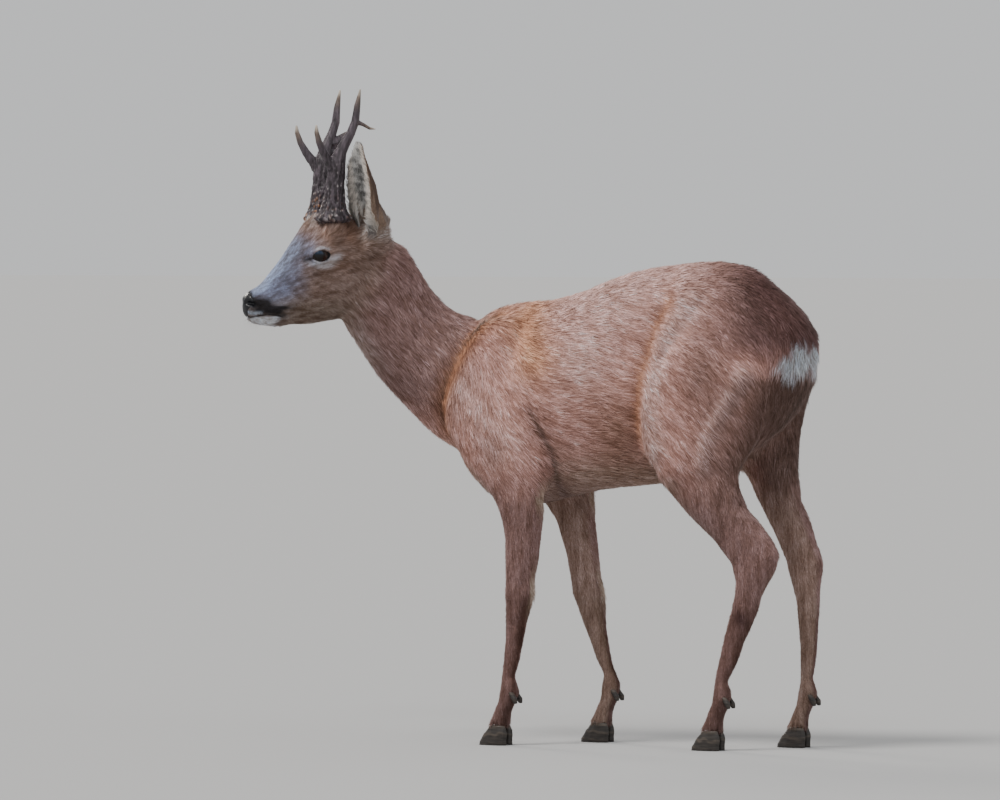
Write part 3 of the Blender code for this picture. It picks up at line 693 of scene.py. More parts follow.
def leg_layers(p, normals):
    """Redder and darker behind, with a pale fringe and the dark gland of the hind leg, and darker
    low down, partly as painted shade.
    """
    x, y, z = p.T
    leg = ramp(0.46, 0.36, z)
    stripe = ramp(0.250, 0.215, z) * ramp(0.1, 0.7, normals[:, 0]) * ramp(0.99, 0.9, normals[:, 0])
    inner = ramp(0.2, 0.8, -normals[:, 1] * np.sign(y)) * leg
    edge = 0.7 * ramp(0.80, 0.97, normals[:, 0]) * is_fore(p)
    layers = [
        (LEG, 0.74 * leg),
        (LEG_REAR_AND_SHADE, 0.9 * stripe * np.where(is_fore(p), 1, 0.55)),
        (LEG, 0.5 * ramp(0.12, 0.06, z)),
        # Darker low on the legs: partly their own colour, partly painted shade.
        (LEG_REAR_AND_SHADE, 0.42 * ramp(0.28, 0.19, z)),
        (BELLY, 0.45 * inner),
        (FRINGE, edge * bell(z - 0.245, 0.030)),
        (FRINGE, edge * bell(z - 0.390, 0.022)),
    ]
    for side in SIDES:
        axis = leg_axis(sided("hindleg", side), z)
        out = (axis[:, 1] - y) * side
        gland = bell(z - 0.208, 0.014) * bell(x - axis[:, 0] - 0.004, 0.011)
        layers.append((RUMP_CAP, 0.8 * gland * ramp(0.0, 0.008, out) * (np.abs(out) < 0.03)))
    return layers


def face_colour(points, normals, h):
    f, left, u = h.T
    side, seen = np.abs(left), h[:, [0, 2]]
    eyes = ramp(*EYE_SIDE, side)
    mottle = 0.5 + 0.5 * ripple(points, 0.016, 7)
    crown = ramp(0.768, 0.795, u + 0.008 * mottle) * ramp(0.135, 0.105, f) * ramp(0.01, 0.04, f)
    low = ramp(0.806, 0.772, u)  # the grey of the bridge ends below the antlers
    grey = ramp(0.092, 0.150, f + 0.30 * (u - 0.735) + 0.010 * mottle)
    top = ramp(0.30, 0.85, normals[:, 2] + 0.55 * (normals @ AHEAD))
    ring = ramp(2.1, 1.4, eye_opening(h, 0.003)) * eyes
    below = ramp(0.760, 0.750, u + 0.25 * (f - 0.087))
    above = near_line(seen, [(96, 768.5), (86, 770.5), (76, 769)], 2.2) * eyes
    tear = near_line(seen, [(101, 755), (114, 750)], 2.4) * eyes
    band = np.maximum.reduce([
        near_line(seen, [(190, 684), (172, 683.5)], 9.8),
        near_line(seen, [(174, 679.5), (152, 673)], 7.8),
        0.62 * near_line(seen, [(158, 670), (143, 666)], 6),
        near_line(seen, [(186, 675), (160, 672.5)], 5.2),
        ramp(0.122, 0.150, f) * near_line(seen, [(160, 677), (128, 678.5)], 4.2),
    ])
    lip = near_line(seen, [(204, 671.2), (190, 670.5), (181, 669.5)], 2.6)
    chin = ramp(0.1465, 0.162, f + 0.15 * (u - 0.66)) * ramp(0.6655, 0.6625, u)
    tuft = np.clip(1.6 * front_tuft(h), 0, 1)
    ear_root = ramp(0.034, 0.024, np.hypot(f + 0.004, side - 0.034)) * ramp(0.772, 0.790, u)
    return mixed(
        FACE,
        (FOREHEAD, crown * (0.55 + 0.45 * mottle)),
        (MUZZLE, 0.85 * grey * low),
        (BRIDGE, 0.9 * top * ramp(0.100, 0.135, f) * low),
        (JAW, 0.8 * ramp(0.705, 0.672, u) * ramp(0.02, 0.06, f)),
        (FOREHEAD, 0.5 * blob(seen, (60, 748), (20, 16)) * mottle),
        (EYE_RING, 0.85 * ring * below),
        (MUZZLE, 0.55 * ring * ramp(0.094, 0.106, f)),
        (EYE_RING, 0.6 * above),
        (BLACK, 0.85 * tear),
        (BLACK, ramp(1.17, 1.08, eye_opening(h)) * eyes),
        (DARK_LIP, np.clip(1.3 * band, 0, 1) * ramp(0.003, 0.010, side)),
        (UPPER_LIP, 0.85 * np.clip(1.2 * lip, 0, 1)),
        (CHIN, chin),
        (BLACK, near_line(seen, MOUTH_LINE, 1.2) * ramp(0.14, 0.15, f)),
        (BLACK, ramp(0.1, 0.5, nostril_depth(h))),
        (BLACK, nose_pad(h, 0.0022)),
        (ROOT_FLUFF, 0.95 * tuft * np.clip(mottle * 2.2, 0, 1)),
        (SHADE, 0.8 * tuft * ramp(0.15, 0.50, ripple(points, 0.0055, 11))),
        (EAR_ROOT, 0.8 * ear_root),
    )


def nose_pad(h, grow=0.0):
    """1 on the naked leather of the nose, which runs down to the mouth in the middle."""
    f, side, u = h[:, 0], np.abs(h[:, 1]), h[:, 2]
    rear = 0.1862 + 0.20 * (side - 0.006) + 0.40 * np.maximum(u - 0.684, 0) - grow
    low = 0.6735 - 0.0105 * ramp(0.0125, 0.0045, side) + 0.0045 * ramp(0.0110, 0.0160, side)
    low = low + 0.0006 * ripple(h, 0.004, 2)
    return ramp(rear, rear + 0.0025, f) * ramp(low, low + 0.0022, u)


# ---- how the coat lies
# Guides: place on the left side, direction in which the hair points there, reach.
TRUNK_LIE = [
    (-330, -80, 700, 0.55, 0, -0.8, 50), (-280, -50, 620, 0.6, 0, -0.8, 50),
    (-240, -50, 540, 0.45, 0, -0.9, 50), (-200, -30, 660, 0.85, 0, -0.45, 50),
    (-150, -30, 700, 1, 0, -0.1, 50), (-150, -80, 600, 0.5, 0, -0.85, 50),
    (-160, -90, 500, 0.3, 0, -0.95, 50), (-80, -100, 440, 0.55, 0, -0.85, 45),
    (-230, -20, 480, 0.3, 0, -0.95, 50), (-150, 0, 370, 0.95, 0, -0.1, 50),
    (-30, -90, 600, 0.97, 0, -0.2, 60), (-30, -90, 480, 0.97, 0, -0.16, 60),
    (50, -30, 720, 1, 0, -0.05, 60), (60, -90, 580, 0.96, 0, -0.24, 60),
    (60, -80, 460, 0.98, 0, -0.14, 60), (20, 0, 400, 1, 0, 0, 60),
    (170, -30, 750, 1, 0, -0.1, 60), (140, -90, 640, 0.84, 0, -0.54, 50),
    (150, -100, 520, 0.8, 0, -0.6, 50), (150, -90, 440, 0.66, 0, -0.75, 50),
    (250, -80, 660, 0.74, 0, -0.67, 50), (240, -100, 540, 0.76, 0, -0.65, 50),
    (330, -50, 660, 0.35, -0.25, -0.9, 40), (340, -20, 600, 0.1, -0.3, -0.9, 20),
    (330, -60, 600, 0.05, -0.8, -0.6, 20), (300, -40, 500, 0, 0, -1, 50),
]
# The same in the head's own axes.
HEAD_LIE = [
    (195, 0, 700, -1, 0, 0.4, 15), (190, 14, 665, -0.9, 0, -0.35, 15),
    (150, 0, 748, -0.8, 0, 0.6, 20), (150, 24, 700, -1, 0, 0.05, 20),
    (150, 15, 652, -1, 0, -0.15, 20), (110, 0, 800, -0.6, 0, 0.8, 20),
    (110, 35, 735, -1, 0, 0.3, 20), (100, 30, 670, -1, 0, -0.1, 25),
    (75, 0, 823, -0.9, 0, 0.3, 20), (85, 40, 780, -0.8, 0, 0.55, 15),
    (85, 45, 740, -1, 0, -0.15, 15), (50, 45, 760, -1, 0, -0.05, 25),
    (50, 45, 700, -0.85, 0, -0.5, 25), (40, 30, 665, -0.8, 0, -0.6, 25),
    (0, 35, 790, -0.9, 0.2, -0.3, 25), (0, 0, 810, -1, 0, -0.1, 25),
    (0, 40, 730, -0.7, 0, -0.7, 30), (-35, 0, 780, -0.8, 0, -0.6, 30),
    (88, 28, 805, -0.2, 0, 1, 12), (64, 52, 800, 0, -0.1, 1, 12), (64, 4, 812, -0.2, 0.3, 1, 12),
    (38, 30, 805, 0.1, 0, 1, 12), (18, 45, 785, -0.1, 0, 1, 12), (-12, 48, 780, -0.1, 0, 1, 14),
    (-26, 28, 788, 0.1, 0, 1, 14),
]


def lie_guides():
    """Places, directions and reaches of the guides of both sides."""
    guides = []
    for side in SIDES:
        flip = np.array([1, side, 1])
        for guide in TRUNK_LIE:
            guides.append((TRUNK_ZERO + mm(guide[:3]) * flip, guide[3:6] * flip, guide[6]))
        for guide in HEAD_LIE:
            way = head_vector(guide[3:6] * flip)
            guides.append((from_head(mm(guide[:3]) * flip), way, guide[6]))
    return [(place, unit(way), reach / 1000) for place, way, reach in guides]


GUIDES = lie_guides()


def along_skin(way, normals):
    return unit(way - normals * (way * normals).sum(1)[:, None])


def lie(points, normals):
    """Direction in which the hair points, along the skin."""
    way = np.zeros_like(points)
    for place, direction, reach in GUIDES:
        away = ((points - place) ** 2).sum(1) / (2 * reach**2)
        way += (np.exp(-away) + 1e-9 / (1 + away))[:, None] * direction
    leg = ramp(0.43, 0.36, points[:, 2])[:, None]
    way = along_skin(unit(unit(way) * (1 - leg) + np.array([0.12, 0, -1]) * leg), normals)
    drift = 0.16 * ripple(points, 0.05, 2) + 0.10 * ripple(points, 0.018, 3)
    return unit(way + np.cross(normals, way) * drift[:, None])


# ---- tufts
class Surface:
    """Triangles to grow hair on."""

    def __init__(self, mesh):
        self.points = positions(mesh)
        self.normals = vertex_normals(mesh)
        self.faces = triangles(mesh)
        a, b, c = (self.points[self.faces[:, i]] for i in range(3))
        self.areas = np.linalg.norm(np.cross(b - a, c - a), axis=1) / 2
        self.centres = (a + b + c) / 3
        self.face_normals = unit(self.normals[self.faces].mean(1))

    def scatter(self, count, density, random):
        """Places and normals of count roots, spread by density over the faces."""
        share = self.areas * density
        chosen = random.choice(len(share), count, p=share / share.sum())
        s, t = random.random(count), random.random(count)
        flip = s + t > 1
        s, t = np.where(flip, 1 - s, s), np.where(flip, 1 - t, t)
        mix = np.stack([1 - s - t, s, t], -1)[:, :, None]
        corners = self.faces[chosen]
        return (self.points[corners] * mix).sum(1), unit((self.normals[corners] * mix).sum(1))


# Two kinds of tuft: faces, places in a patch of the bake map and shade of the corners: the roots
# darker as painted shade of the coat on itself, the tips a little paler as the hair's own tips are.
SPIKE = (
    [(0, 2, 3), (2, 1, 3), (1, 0, 3), (0, 1, 2)],
    [(0, 0), (1, 0), (0.5, 0.5), (0.5, 1)],
    [0.74, 0.74, 0.88, 1.12],
)
LOCK = (
    [(0, 5, 3), (0, 2, 5), (2, 4, 5), (2, 1, 4), (1, 3, 4), (1, 0, 3)]
    + [(3, 5, 6), (5, 4, 6), (4, 3, 6), (0, 1, 2)],
    [(0, 0), (1, 0), (0.5, 0.2), (0.1, 0.5), (0.9, 0.5), (0.5, 0.6), (0.5, 1)],
    [0.72, 0.72, 0.8, 0.95, 0.95, 1.0, 1.12],
)
PATCH = 0.003  # side of a tuft's patch of the bake map
ROOT_DEPTH = 0.0006


def tufts(kind, roots, normals, way, length, width, lift):
    """Corners and normals: two feet and a ridge, the same again at a lock's knee, and a tip."""
    across, w = np.cross(normals, way), (width / 2)[:, None]
    steps = [(roots - normals * ROOT_DEPTH, 1, 1.5)]
    if kind is LOCK:
        knee = roots + way * (0.5 * length)[:, None] + normals * (0.8 * lift)[:, None]
        steps.append((knee, 0.8, 0.9))
    corners, facing = [], []
    for foot, wide, tall in steps:
        corners += [foot + across * w * wide, foot - across * w * wide, foot + normals * w * tall]
        facing += [normals + 0.45 * across, normals - 0.45 * across, normals]
    corners.append(roots + way * length[:, None] + normals * lift[:, None])
    facing.append(normals + 0.25 * way)
    return np.stack(corners, 1), unit(np.stack(facing, 1))


def grow(name, kind, shape, colours, fur, turn=None):
    """One mesh of many tufts, with colours, custom normals and the bake map.

    shape is roots, normals, way, length, width and lift. turn is added to the normals.
    """
    corners, facing = tufts(kind, *shape)
    if turn is not None:
        facing = unit(facing + turn[:, None, :])
    faces, patch, shade = (np.array(part) for part in kind)
    count, per = corners.shape[:2]
    loops = (np.arange(count)[:, None, None] * per + faces).astype(np.int32).ravel()
    total = count * len(faces)
    mesh = bpy.data.meshes.new(name)
    mesh.vertices.add(count * per)
    mesh.vertices.foreach_set("co", corners.astype(np.float32).ravel())
    mesh.loops.add(len(loops))
    mesh.loops.foreach_set("vertex_index", loops)
    mesh.polygons.add(total)
    mesh.polygons.foreach_set("loop_start", np.arange(total, dtype=np.int32) * 3)
    mesh.update(calc_edges=True)
    mesh.shade_smooth()
    set_colours(mesh, (colours[:, None, :] * shade[None, :, None]).reshape(-1, 3))
    uv = unwrap(shape[0])[:, None, :] + (patch - 0.5) * PATCH
    layer = mesh.uv_layers.new(name="OFBake")
    layer.uv.foreach_set("vector", uv.reshape(-1, 2)[loops].astype(np.float32).ravel())
    mesh.normals_split_custom_set_from_vertices(facing.reshape(-1, 3).astype(np.float32))
    dress(add_object(name, mesh), fur, "coat")


def unwrap(points):
    """Places on the bake map.

    The unwrap cuts the skin into strips and rolls each out flat: height or length one way, the
    angle round the strip's own axis the other way. Each strip has its own rectangle of the map.
    """
    p, h = in_axes(points)

    def around(side, up):
        return np.arctan2(side, up) / (2 * math.pi) + 0.5

    uv = np.empty((len(points), 2))
    uv[:, 0] = 0.01 + 0.50 * (p[:, 0] + 0.40) / 0.80
    uv[:, 1] = 0.01 + 0.60 * around(p[:, 1], p[:, 2] - 0.56)
    head = head_side(h) > -0.01
    uv[head, 0] = 0.53 + 0.45 * ((h[:, 0] + 0.08) / 0.30)[head]
    uv[head, 1] = 0.01 + 0.48 * around(h[:, 1], h[:, 2] - 0.735)[head]
    low, nearest = (p[:, 2] < 0.40) & ~head, nearest_leg(points)
    for number, leg in enumerate(LEG_NAMES):
        axis = leg_axis(leg, p[:, 2])
        mine = low & (nearest == number)
        turn = around(p[:, 1] - axis[:, 1], p[:, 0] - axis[:, 0])
        uv[mine, 0] = (0.01 + 0.24 * (number + turn))[mine]
        uv[mine, 1] = (0.66 + 0.32 * p[:, 2] / 0.40)[mine]
    return np.clip(uv, 0.002, 0.998)


LEG_NAMES = ["foreleg_left", "foreleg_right", "hindleg_left", "hindleg_right"]
LEG_PARTS = {"fore": ["pastern", "cannon", "forearm"], "hind": ["pastern", "cannon", "shank"]}
# Middles of the segments of each leg, from the ground up, in the trunk's axes.
LEG_AXES = {
    leg: np.array([to_trunk(middle(f"{leg}_{part}")) for part in LEG_PARTS[leg[:4]]])
    for leg in LEG_NAMES
}


def leg_axis(leg, z):
    line = LEG_AXES[leg]
    return np.stack([np.interp(z, line[:, 2], line[:, i]) for i in range(2)], -1)


def nearest_leg(points):
    p = to_trunk(points)
    away = [np.linalg.norm(p[:, :2] - leg_axis(leg, p[:, 2]), axis=1) for leg in LEG_NAMES]
    return np.argmin(away, 0)


def coat_style(points, normals):
    """Length, width and lift of the tufts at points."""
    p, h = in_axes(points)
    head = ramp(-0.03, 0.02, head_side(h))
    patch, long = rump_patch(p), 0.9 * fluff(p, h, normals)
    coronet = ramp(0.047, 0.039, p[:, 2])
    length = eased(
        np.full(len(points), 0.0180),
        (0.0110, head),
        (0.0065, head * ramp(0.03, 0.10, h[:, 0])),
        (0.0042, head * ramp(0.11, 0.15, h[:, 0])),
        (0.0100, ramp(0.44, 0.34, p[:, 2])),
        (0.0070, ramp(0.24, 0.14, p[:, 2])),
        (0.0170, patch),
        (0.0170, long),
        (0.0115, coronet),
    )
    lids = head * (np.abs(h[:, 1]) > EYE_SIDE[0]) * ramp(2.4, 1.15, eye_opening(h))
    length *= 1 - 0.62 * lids
    width = np.clip(length * 0.080, 0.0005, 0.0014)
    lift = np.clip(length * 0.15, 0.0006, 0.0026) + 0.002 * patch + 0.0030 * long
    return length, width, lift + 0.001 * coronet + 0.005 * front_tuft(h)


def front_tuft(h):
    """The loose grey tuft between the roots of the antlers."""
    return blob(h, (89, -6, 803), (13, 18, 13))


def fluff(p, h, normals):
    """1 where the hair is long and loose: round antlers and ear roots, elbow, knee, breast."""
    side = np.abs(h[:, 1])
    rear = normals[:, 0]
    antlers = ramp(0.030, 0.020, np.hypot(h[:, 0] - 0.0638, side - 0.0282))
    ears = ramp(0.032, 0.022, np.hypot(h[:, 0] + 0.002, side - 0.036))
    front = ramp(0.6, 0.9, -rear) * ramp(0.03, 0.0, np.abs(p[:, 1]))
    return np.maximum.reduce([
        0.7 * antlers * ramp(0.786, 0.796, h[:, 2]),
        0.35 * ears * ramp(0.768, 0.780, h[:, 2]),
        front_tuft(h),
        0.6 * ramp(0.80, 0.97, rear) * is_fore(p) * bell(p[:, 2] - 0.245, 0.030),
        0.7 * ramp(0.75, 0.95, rear) * is_fore(p) * bell(p[:, 2] - 0.395, 0.026),
        0.6 * front * blob(p[:, [0, 2]], (-215, 420), (40, 50)),
    ])


def hair_density(surface):
    """Roots per area, more where hairs are short, none where the skin is naked."""
    points, h = surface.centres, to_head(surface.centres)
    length, width, _ = coat_style(points, surface.face_normals)
    lids = ramp(1.12, 1.05, eye_opening(h)) * (np.abs(h[:, 1]) > EYE_SIDE[0])
    naked = [ramp(0.5, 0.95, nose_pad(h)), lids, ramp(0.1, 0.4, nostril_depth(h))]
    return 1 / (length * width) * (1 - np.maximum.reduce(naked)) * (points[:, 2] > 0.0335)


def coat_regions(points):
    """Number of the coat piece that each point belongs to."""
    p, h = in_axes(points)
    region = np.where(p[:, 0] > 0.06, 2, 0) + (p[:, 1] > 0)
    region = np.where(p[:, 2] < 0.37, 4 + nearest_leg(points), region)
    region = np.where((p[:, 0] < -0.19) & (p[:, 2] > 0.45), 8, region)
    return np.where(head_side(h) > -0.005, 9 + (h[:, 1] > 0), region)


TRUNK_NAMES = ["fore_left", "fore_right", "hind_left", "hind_right"]
COAT_NAMES = TRUNK_NAMES + LEG_NAMES + ["neck", "head_right", "head_left"]
TUFTS = 292_000


def grow_coat(skin, fur):
    surface = Surface(skin.data)
    roots, normals = surface.scatter(TUFTS, hair_density(surface), RANDOM)
    length, width, lift = coat_style(roots, normals)
    way = lie(roots, normals)
    jitter = RANDOM.normal(0, 0.13, TUFTS)
    way = unit(way + np.cross(normals, way) * jitter[:, None])
    length = length * RANDOM.uniform(0.65, 1.25, TUFTS)
    lift = lift * RANDOM.uniform(0.3, 1.5, TUFTS)
    tone = np.clip(RANDOM.normal(1.0, 0.29, TUFTS), 0.40, 1.8)
    colours = markings(roots, normals) * tone[:, None] ** WARM_SHADE
    region = coat_regions(roots)
    for number, name in enumerate(COAT_NAMES):
        mine = region == number
        shape = [values[mine] for values in (roots, normals, way, length, width, lift)]
        grow("coat_" + name, SPIKE, shape, colours[mine], fur)


# ---- eyes
IRIS = (0.010, 0.006, 0.005)
# Painted reflection: a dull blue at the top of the eyeball, as the sky shows in a wet eye.
PAINTED_EYE_REFLECTION = (0.016, 0.032, 0.062)
WHITE_OF_EYE = (0.024, 0.014, 0.012)


def eyeball(bm):
    """A ball. Blender makes its faces in another order each time, so they are sorted."""
    bmesh.ops.create_uvsphere(bm, u_segments=64, v_segments=40, radius=EYE_RADIUS)
    bm.verts.index_update()
    bm.faces.sort(key=lambda face: face.verts[0].index * len(bm.verts) + face.verts[1].index)


def make_eye(side, glass):
    """An eyeball with a wide, lying pupil. It looks outwards from the head's middle."""
    node = sided("eye", side)
    mesh = new_mesh(node + "_ball", eyeball)
    mesh.shade_smooth()
    points = positions(mesh)
    look = unit(head_vector((0.30, side, 0.04)))
    front, wide, high = points @ look, points @ unit(np.cross(UP, look)), points @ UP
    off = np.hypot(wide, high)
    colour = mixed(
        IRIS,
        (BLACK, ramp(1.15, 0.9, np.hypot(wide / 0.0062, high / 0.0034))),
        (WHITE_OF_EYE, ramp(0.0092, 0.0105, off)),
        # Painted reflection of the sky: blue at the top of the eye.
        (PAINTED_EYE_REFLECTION, 0.8 * ramp(0.0, 0.004, high) * ramp(0.0085, 0.0060, off)),
    )
    set_colours(mesh, colour)
    front = front / EYE_RADIUS
    swell = 1 + 0.060 * ramp(0.74, 1.0, front) - 0.012 * (1 - ramp(0.45, 1.0, front))
    set_positions(mesh, points * swell[:, None] + EYE[side])
    dress(add_object(node + "_ball", mesh), glass, "eye", node)


# ---- antlers
ANTLER_DARK = (0.022, 0.016, 0.019)
ANTLER_MID = (0.112, 0.086, 0.104)
ANTLER_TIP = (0.50, 0.43, 0.35)
ANTLER_TAN = (0.190, 0.135, 0.095)
PEARL = (0.36, 0.325, 0.320)
BARK = (0.330, 0.130, 0.035)
ANTLER_VOXEL = 0.00105
ANTLER_AXIS = (0.0638, 0.0282)  # middle of the left burr, ahead and to the left
BURR_HEIGHT = 0.8165  # above the floor
BUMPS_PER_METRE = 230
# Bone between the two rear branches of the right antler: place in the head's axes, radius.
ANTLER_WEB = [
    ((40, -45, 929), 7.5),
    ((44, -44.5, 919), 8),
    ((36, -45.5, 923.5), 7),
]


def bumps(points):
    """Height of close-set pearls, from 0 to 1, and of grooves along the antler."""
    pearls, grooves = np.empty(len(points)), np.empty(len(points))
    for i, (x, y, z) in enumerate(points * BUMPS_PER_METRE):
        distance = noise.voronoi((x, y, z * 0.7))[0][0]
        pearls[i] = max(0.0, 1 - 1.7 * distance)
        grooves[i] = noise.fractal((x * 1.1, y * 1.1, z * 0.16), 0.8, 2, 3)
    return pearls, grooves


def make_antler(side, bone):
    name = sided("antler", side)
    nodes = [f"{name}_{part}" for part in ("beam", "front_tine", "top", "rear_tine")]
    meshes = solids(*nodes)
    if side < 0:
        meshes += [filler(from_head(mm(place)), radius / 1000) for place, radius in ANTLER_WEB]
    obj, mesh = fused(name + "_bone", meshes, ANTLER_VOXEL)
    low = ramp(0.90, 0.86, positions(mesh)[:, 2])
    points = relax(mesh, 0.75 + 0.25 * low, 14)
    set_positions(mesh, points)
    out = to_head(points)[:, :2] - np.array(ANTLER_AXIS) * [1, side]
    pearls, grooves = bumps(points)
    rough = ramp(0.925, 0.860, points[:, 2])
    above = points[:, 2] - BURR_HEIGHT
    ridge = np.abs(np.sin(4.5 * np.arctan2(out[:, 1], out[:, 0]) + 3 * grooves + side))
    push = 0.0013 * rough * (pearls - 0.2) + 0.0022 * (0.12 + 0.88 * rough) * grooves
    push += bell(above, 0.0062) * (0.0022 + 0.0026 * ridge + 0.0032 * pearls)
    push -= 0.0012 * bell(above - 0.015, 0.006)
    push *= ramp(0.0, 0.03, tip_distance(points, nodes)) * 0.85 + 0.15
    points += vertex_normals(mesh) * push[:, None]
    # The stalk under the burr is slimmer.
    stalk = ramp(-0.002, -0.011, points[:, 2] - BURR_HEIGHT) * 0.38
    points -= head_vector(np.column_stack([out, np.zeros(len(out))])) * stalk[:, None]
    set_positions(mesh, points)
    tall, to_tip = points[:, 2], tip_distance(points, nodes)
    furrows = (0.50 + 0.90 * rough) * grooves
    worn = np.clip(0.5 - 0.22 * rough + 1.1 * pearls * rough + furrows, 0, 1)
    worn_off = ramp(-0.5, 0.5, ripple(points, 0.014, 3))
    shreds = ramp(0.05, 0.35, ripple(points, 0.007, 6)) * ramp(0.862, 0.828, tall)
    colour = mixed(
        ANTLER_DARK,
        (ANTLER_MID, worn * (0.48 + 0.30 * ramp(0.86, 0.93, tall))),
        (PEARL, 0.66 * ramp(0.34, 0.75, pearls) * rough * worn_off),
        (ANTLER_TAN, 0.60 * ramp(0.040, 0.008, to_tip)),
        (ANTLER_TIP, 0.85 * ramp(0.015, 0.001, to_tip)),
        (BARK, shreds * (0.12 if side > 0 else 0.8) * ramp(0.3, 0.8, pearls + 0.4)),
    )
    set_colours(mesh, colour)
    dress(obj, bone, "antler", *nodes)


def tip_distance(points, nodes):
    """Distance to the nearest tip. A tip is the point of a tine farthest from the beam's middle."""
    start, nearest = middle(nodes[0]), np.full(len(points), np.inf)
    for mesh in solids(*nodes[1:]):
        corners = positions(mesh)
        tip = corners[np.argmax(np.linalg.norm(corners - start, axis=1))]
        nearest = np.minimum(nearest, np.linalg.norm(points - tip, axis=1))
    return nearest


# ---- hooves
HORN = (0.027, 0.022, 0.019)
HORN_PALE = (0.085, 0.066, 0.052)
HORN_VOXEL = 0.0012


def make_hoof(node, horn):
    """A claw or dewclaw with rounded edges and growth rings."""
    obj, mesh = fused(node + "_horn", solids(node), HORN_VOXEL)
    low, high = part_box(node)
    points = relax(mesh, 1, 14)
    top = ramp(high[2] - 0.010, high[2], points[:, 2])
    points[:, :2] += 0.12 * top[:, None] * (middle(node)[:2] - points[:, :2])
    set_positions(mesh, points)
    normals = vertex_normals(mesh)
    ring = np.sin(points[:, 2] / 0.0021 + 1.5 * ripple(points, 0.02, 4))
    wall = ramp(0.9, 0.5, np.abs(normals[:, 2]))
    wall *= ramp(low[2] + 0.002, low[2] + 0.006, points[:, 2])
    points += normals * (0.00022 * ring * wall - 0.0002)[:, None]
    points[:, 2] = np.maximum(points[:, 2], low[2])
    set_positions(mesh, points)
    colour = mixed(
        HORN,
        (HORN_PALE, 0.5 * ramp(0.3, 1, ring) * wall),
        (HORN_PALE, ramp(high[2] - 0.008, high[2], points[:, 2]) * 0.6),
    )
    set_colours(mesh, colour)
    dress(obj, horn, "hoof", node)


# ---- ears
EAR_INNER = (0.190, 0.160, 0.150)
EAR_HAIR = (0.66, 0.64, 0.62)
EAR_RIM = (0.66, 0.56, 0.47)
EAR_BACK = (0.110, 0.068, 0.050)
EAR_ROOT = (0.370, 0.300, 0.265)
EAR_SIDE = (0.270, 0.185, 0.135)
EAR_VOXEL = 0.0014
EAR_LOCKS, EAR_SPIKES = 7_500, 12_000
EAR_STEPS = 13


def ear_axes(side):
    """The way in which the ear opens, and the way across it."""
    facing = head_vector(unit(np.array([0.951, 0.309 * side, 0.0])))
    return facing, unit(np.cross(UP, facing))


def ear_height(points, side):
    """0 at the ear's root and 1 at its tip."""
    low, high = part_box(sided("ear", side))
    return np.clip((points[:, 2] - low[2]) / (high[2] - low[2]), 0, 1)


def ear_width(points, roots, across):
    """How far each root lies across the ear from its middle at that height, in half widths."""
    steps = np.linspace(points[:, 2].min(), points[:, 2].max(), EAR_STEPS + 1)
    place = points @ across
    slots = np.clip(np.searchsorted(steps, points[:, 2]) - 1, 0, EAR_STEPS - 1)
    low = np.array([place[slots == i].min() for i in range(EAR_STEPS)])
    high = np.array([place[slots == i].max() for i in range(EAR_STEPS)])
    heights = (steps[1:] + steps[:-1]) / 2
    centre = np.interp(roots[:, 2], heights, (low + high) / 2)
    half = np.interp(roots[:, 2], heights, (high - low) / 2)
    return np.clip((roots @ across - centre) / half, -1, 1)


def inner_side(normals, facing):
    return ramp(0.05, 0.42, normals @ facing)


def ear_colour(points, normals, side, place):
    facing, tall = ear_axes(side)[0], ear_height(points, side)
    opened = normals @ facing
    edge = bell(opened - 0.42, 0.17) + ramp(-0.80, -0.95, place) * ramp(-0.3, 0.0, opened)
    beside = ramp(-0.45, -0.05, opened) * ramp(0.45, 0.15, opened)
    return mixed(
        EAR_BACK,
        (EAR_ROOT, ramp(0.40, 0.08, tall)),
        (EAR_INNER, inner_side(normals, facing)),
        (EAR_SIDE, beside * ramp(0.0, 0.2, tall)),
        (EAR_RIM, np.clip(edge, 0, 1) * ramp(0.05, 0.25, tall) * 0.9),
    )


def make_ear(side, skin_look, fur):
    node = sided("ear", side)
    obj, mesh = fused(node + "_skin", solids(node), EAR_VOXEL)
    points = relax(mesh, 1, 16)
    set_positions(mesh, points)
    place = ear_width(points, points, ear_axes(side)[1])
    set_colours(mesh, ear_colour(points, vertex_normals(mesh), side, place) * 0.85)
    dress(obj, skin_look, "coat", node)
    grow_ear(obj, side, fur)


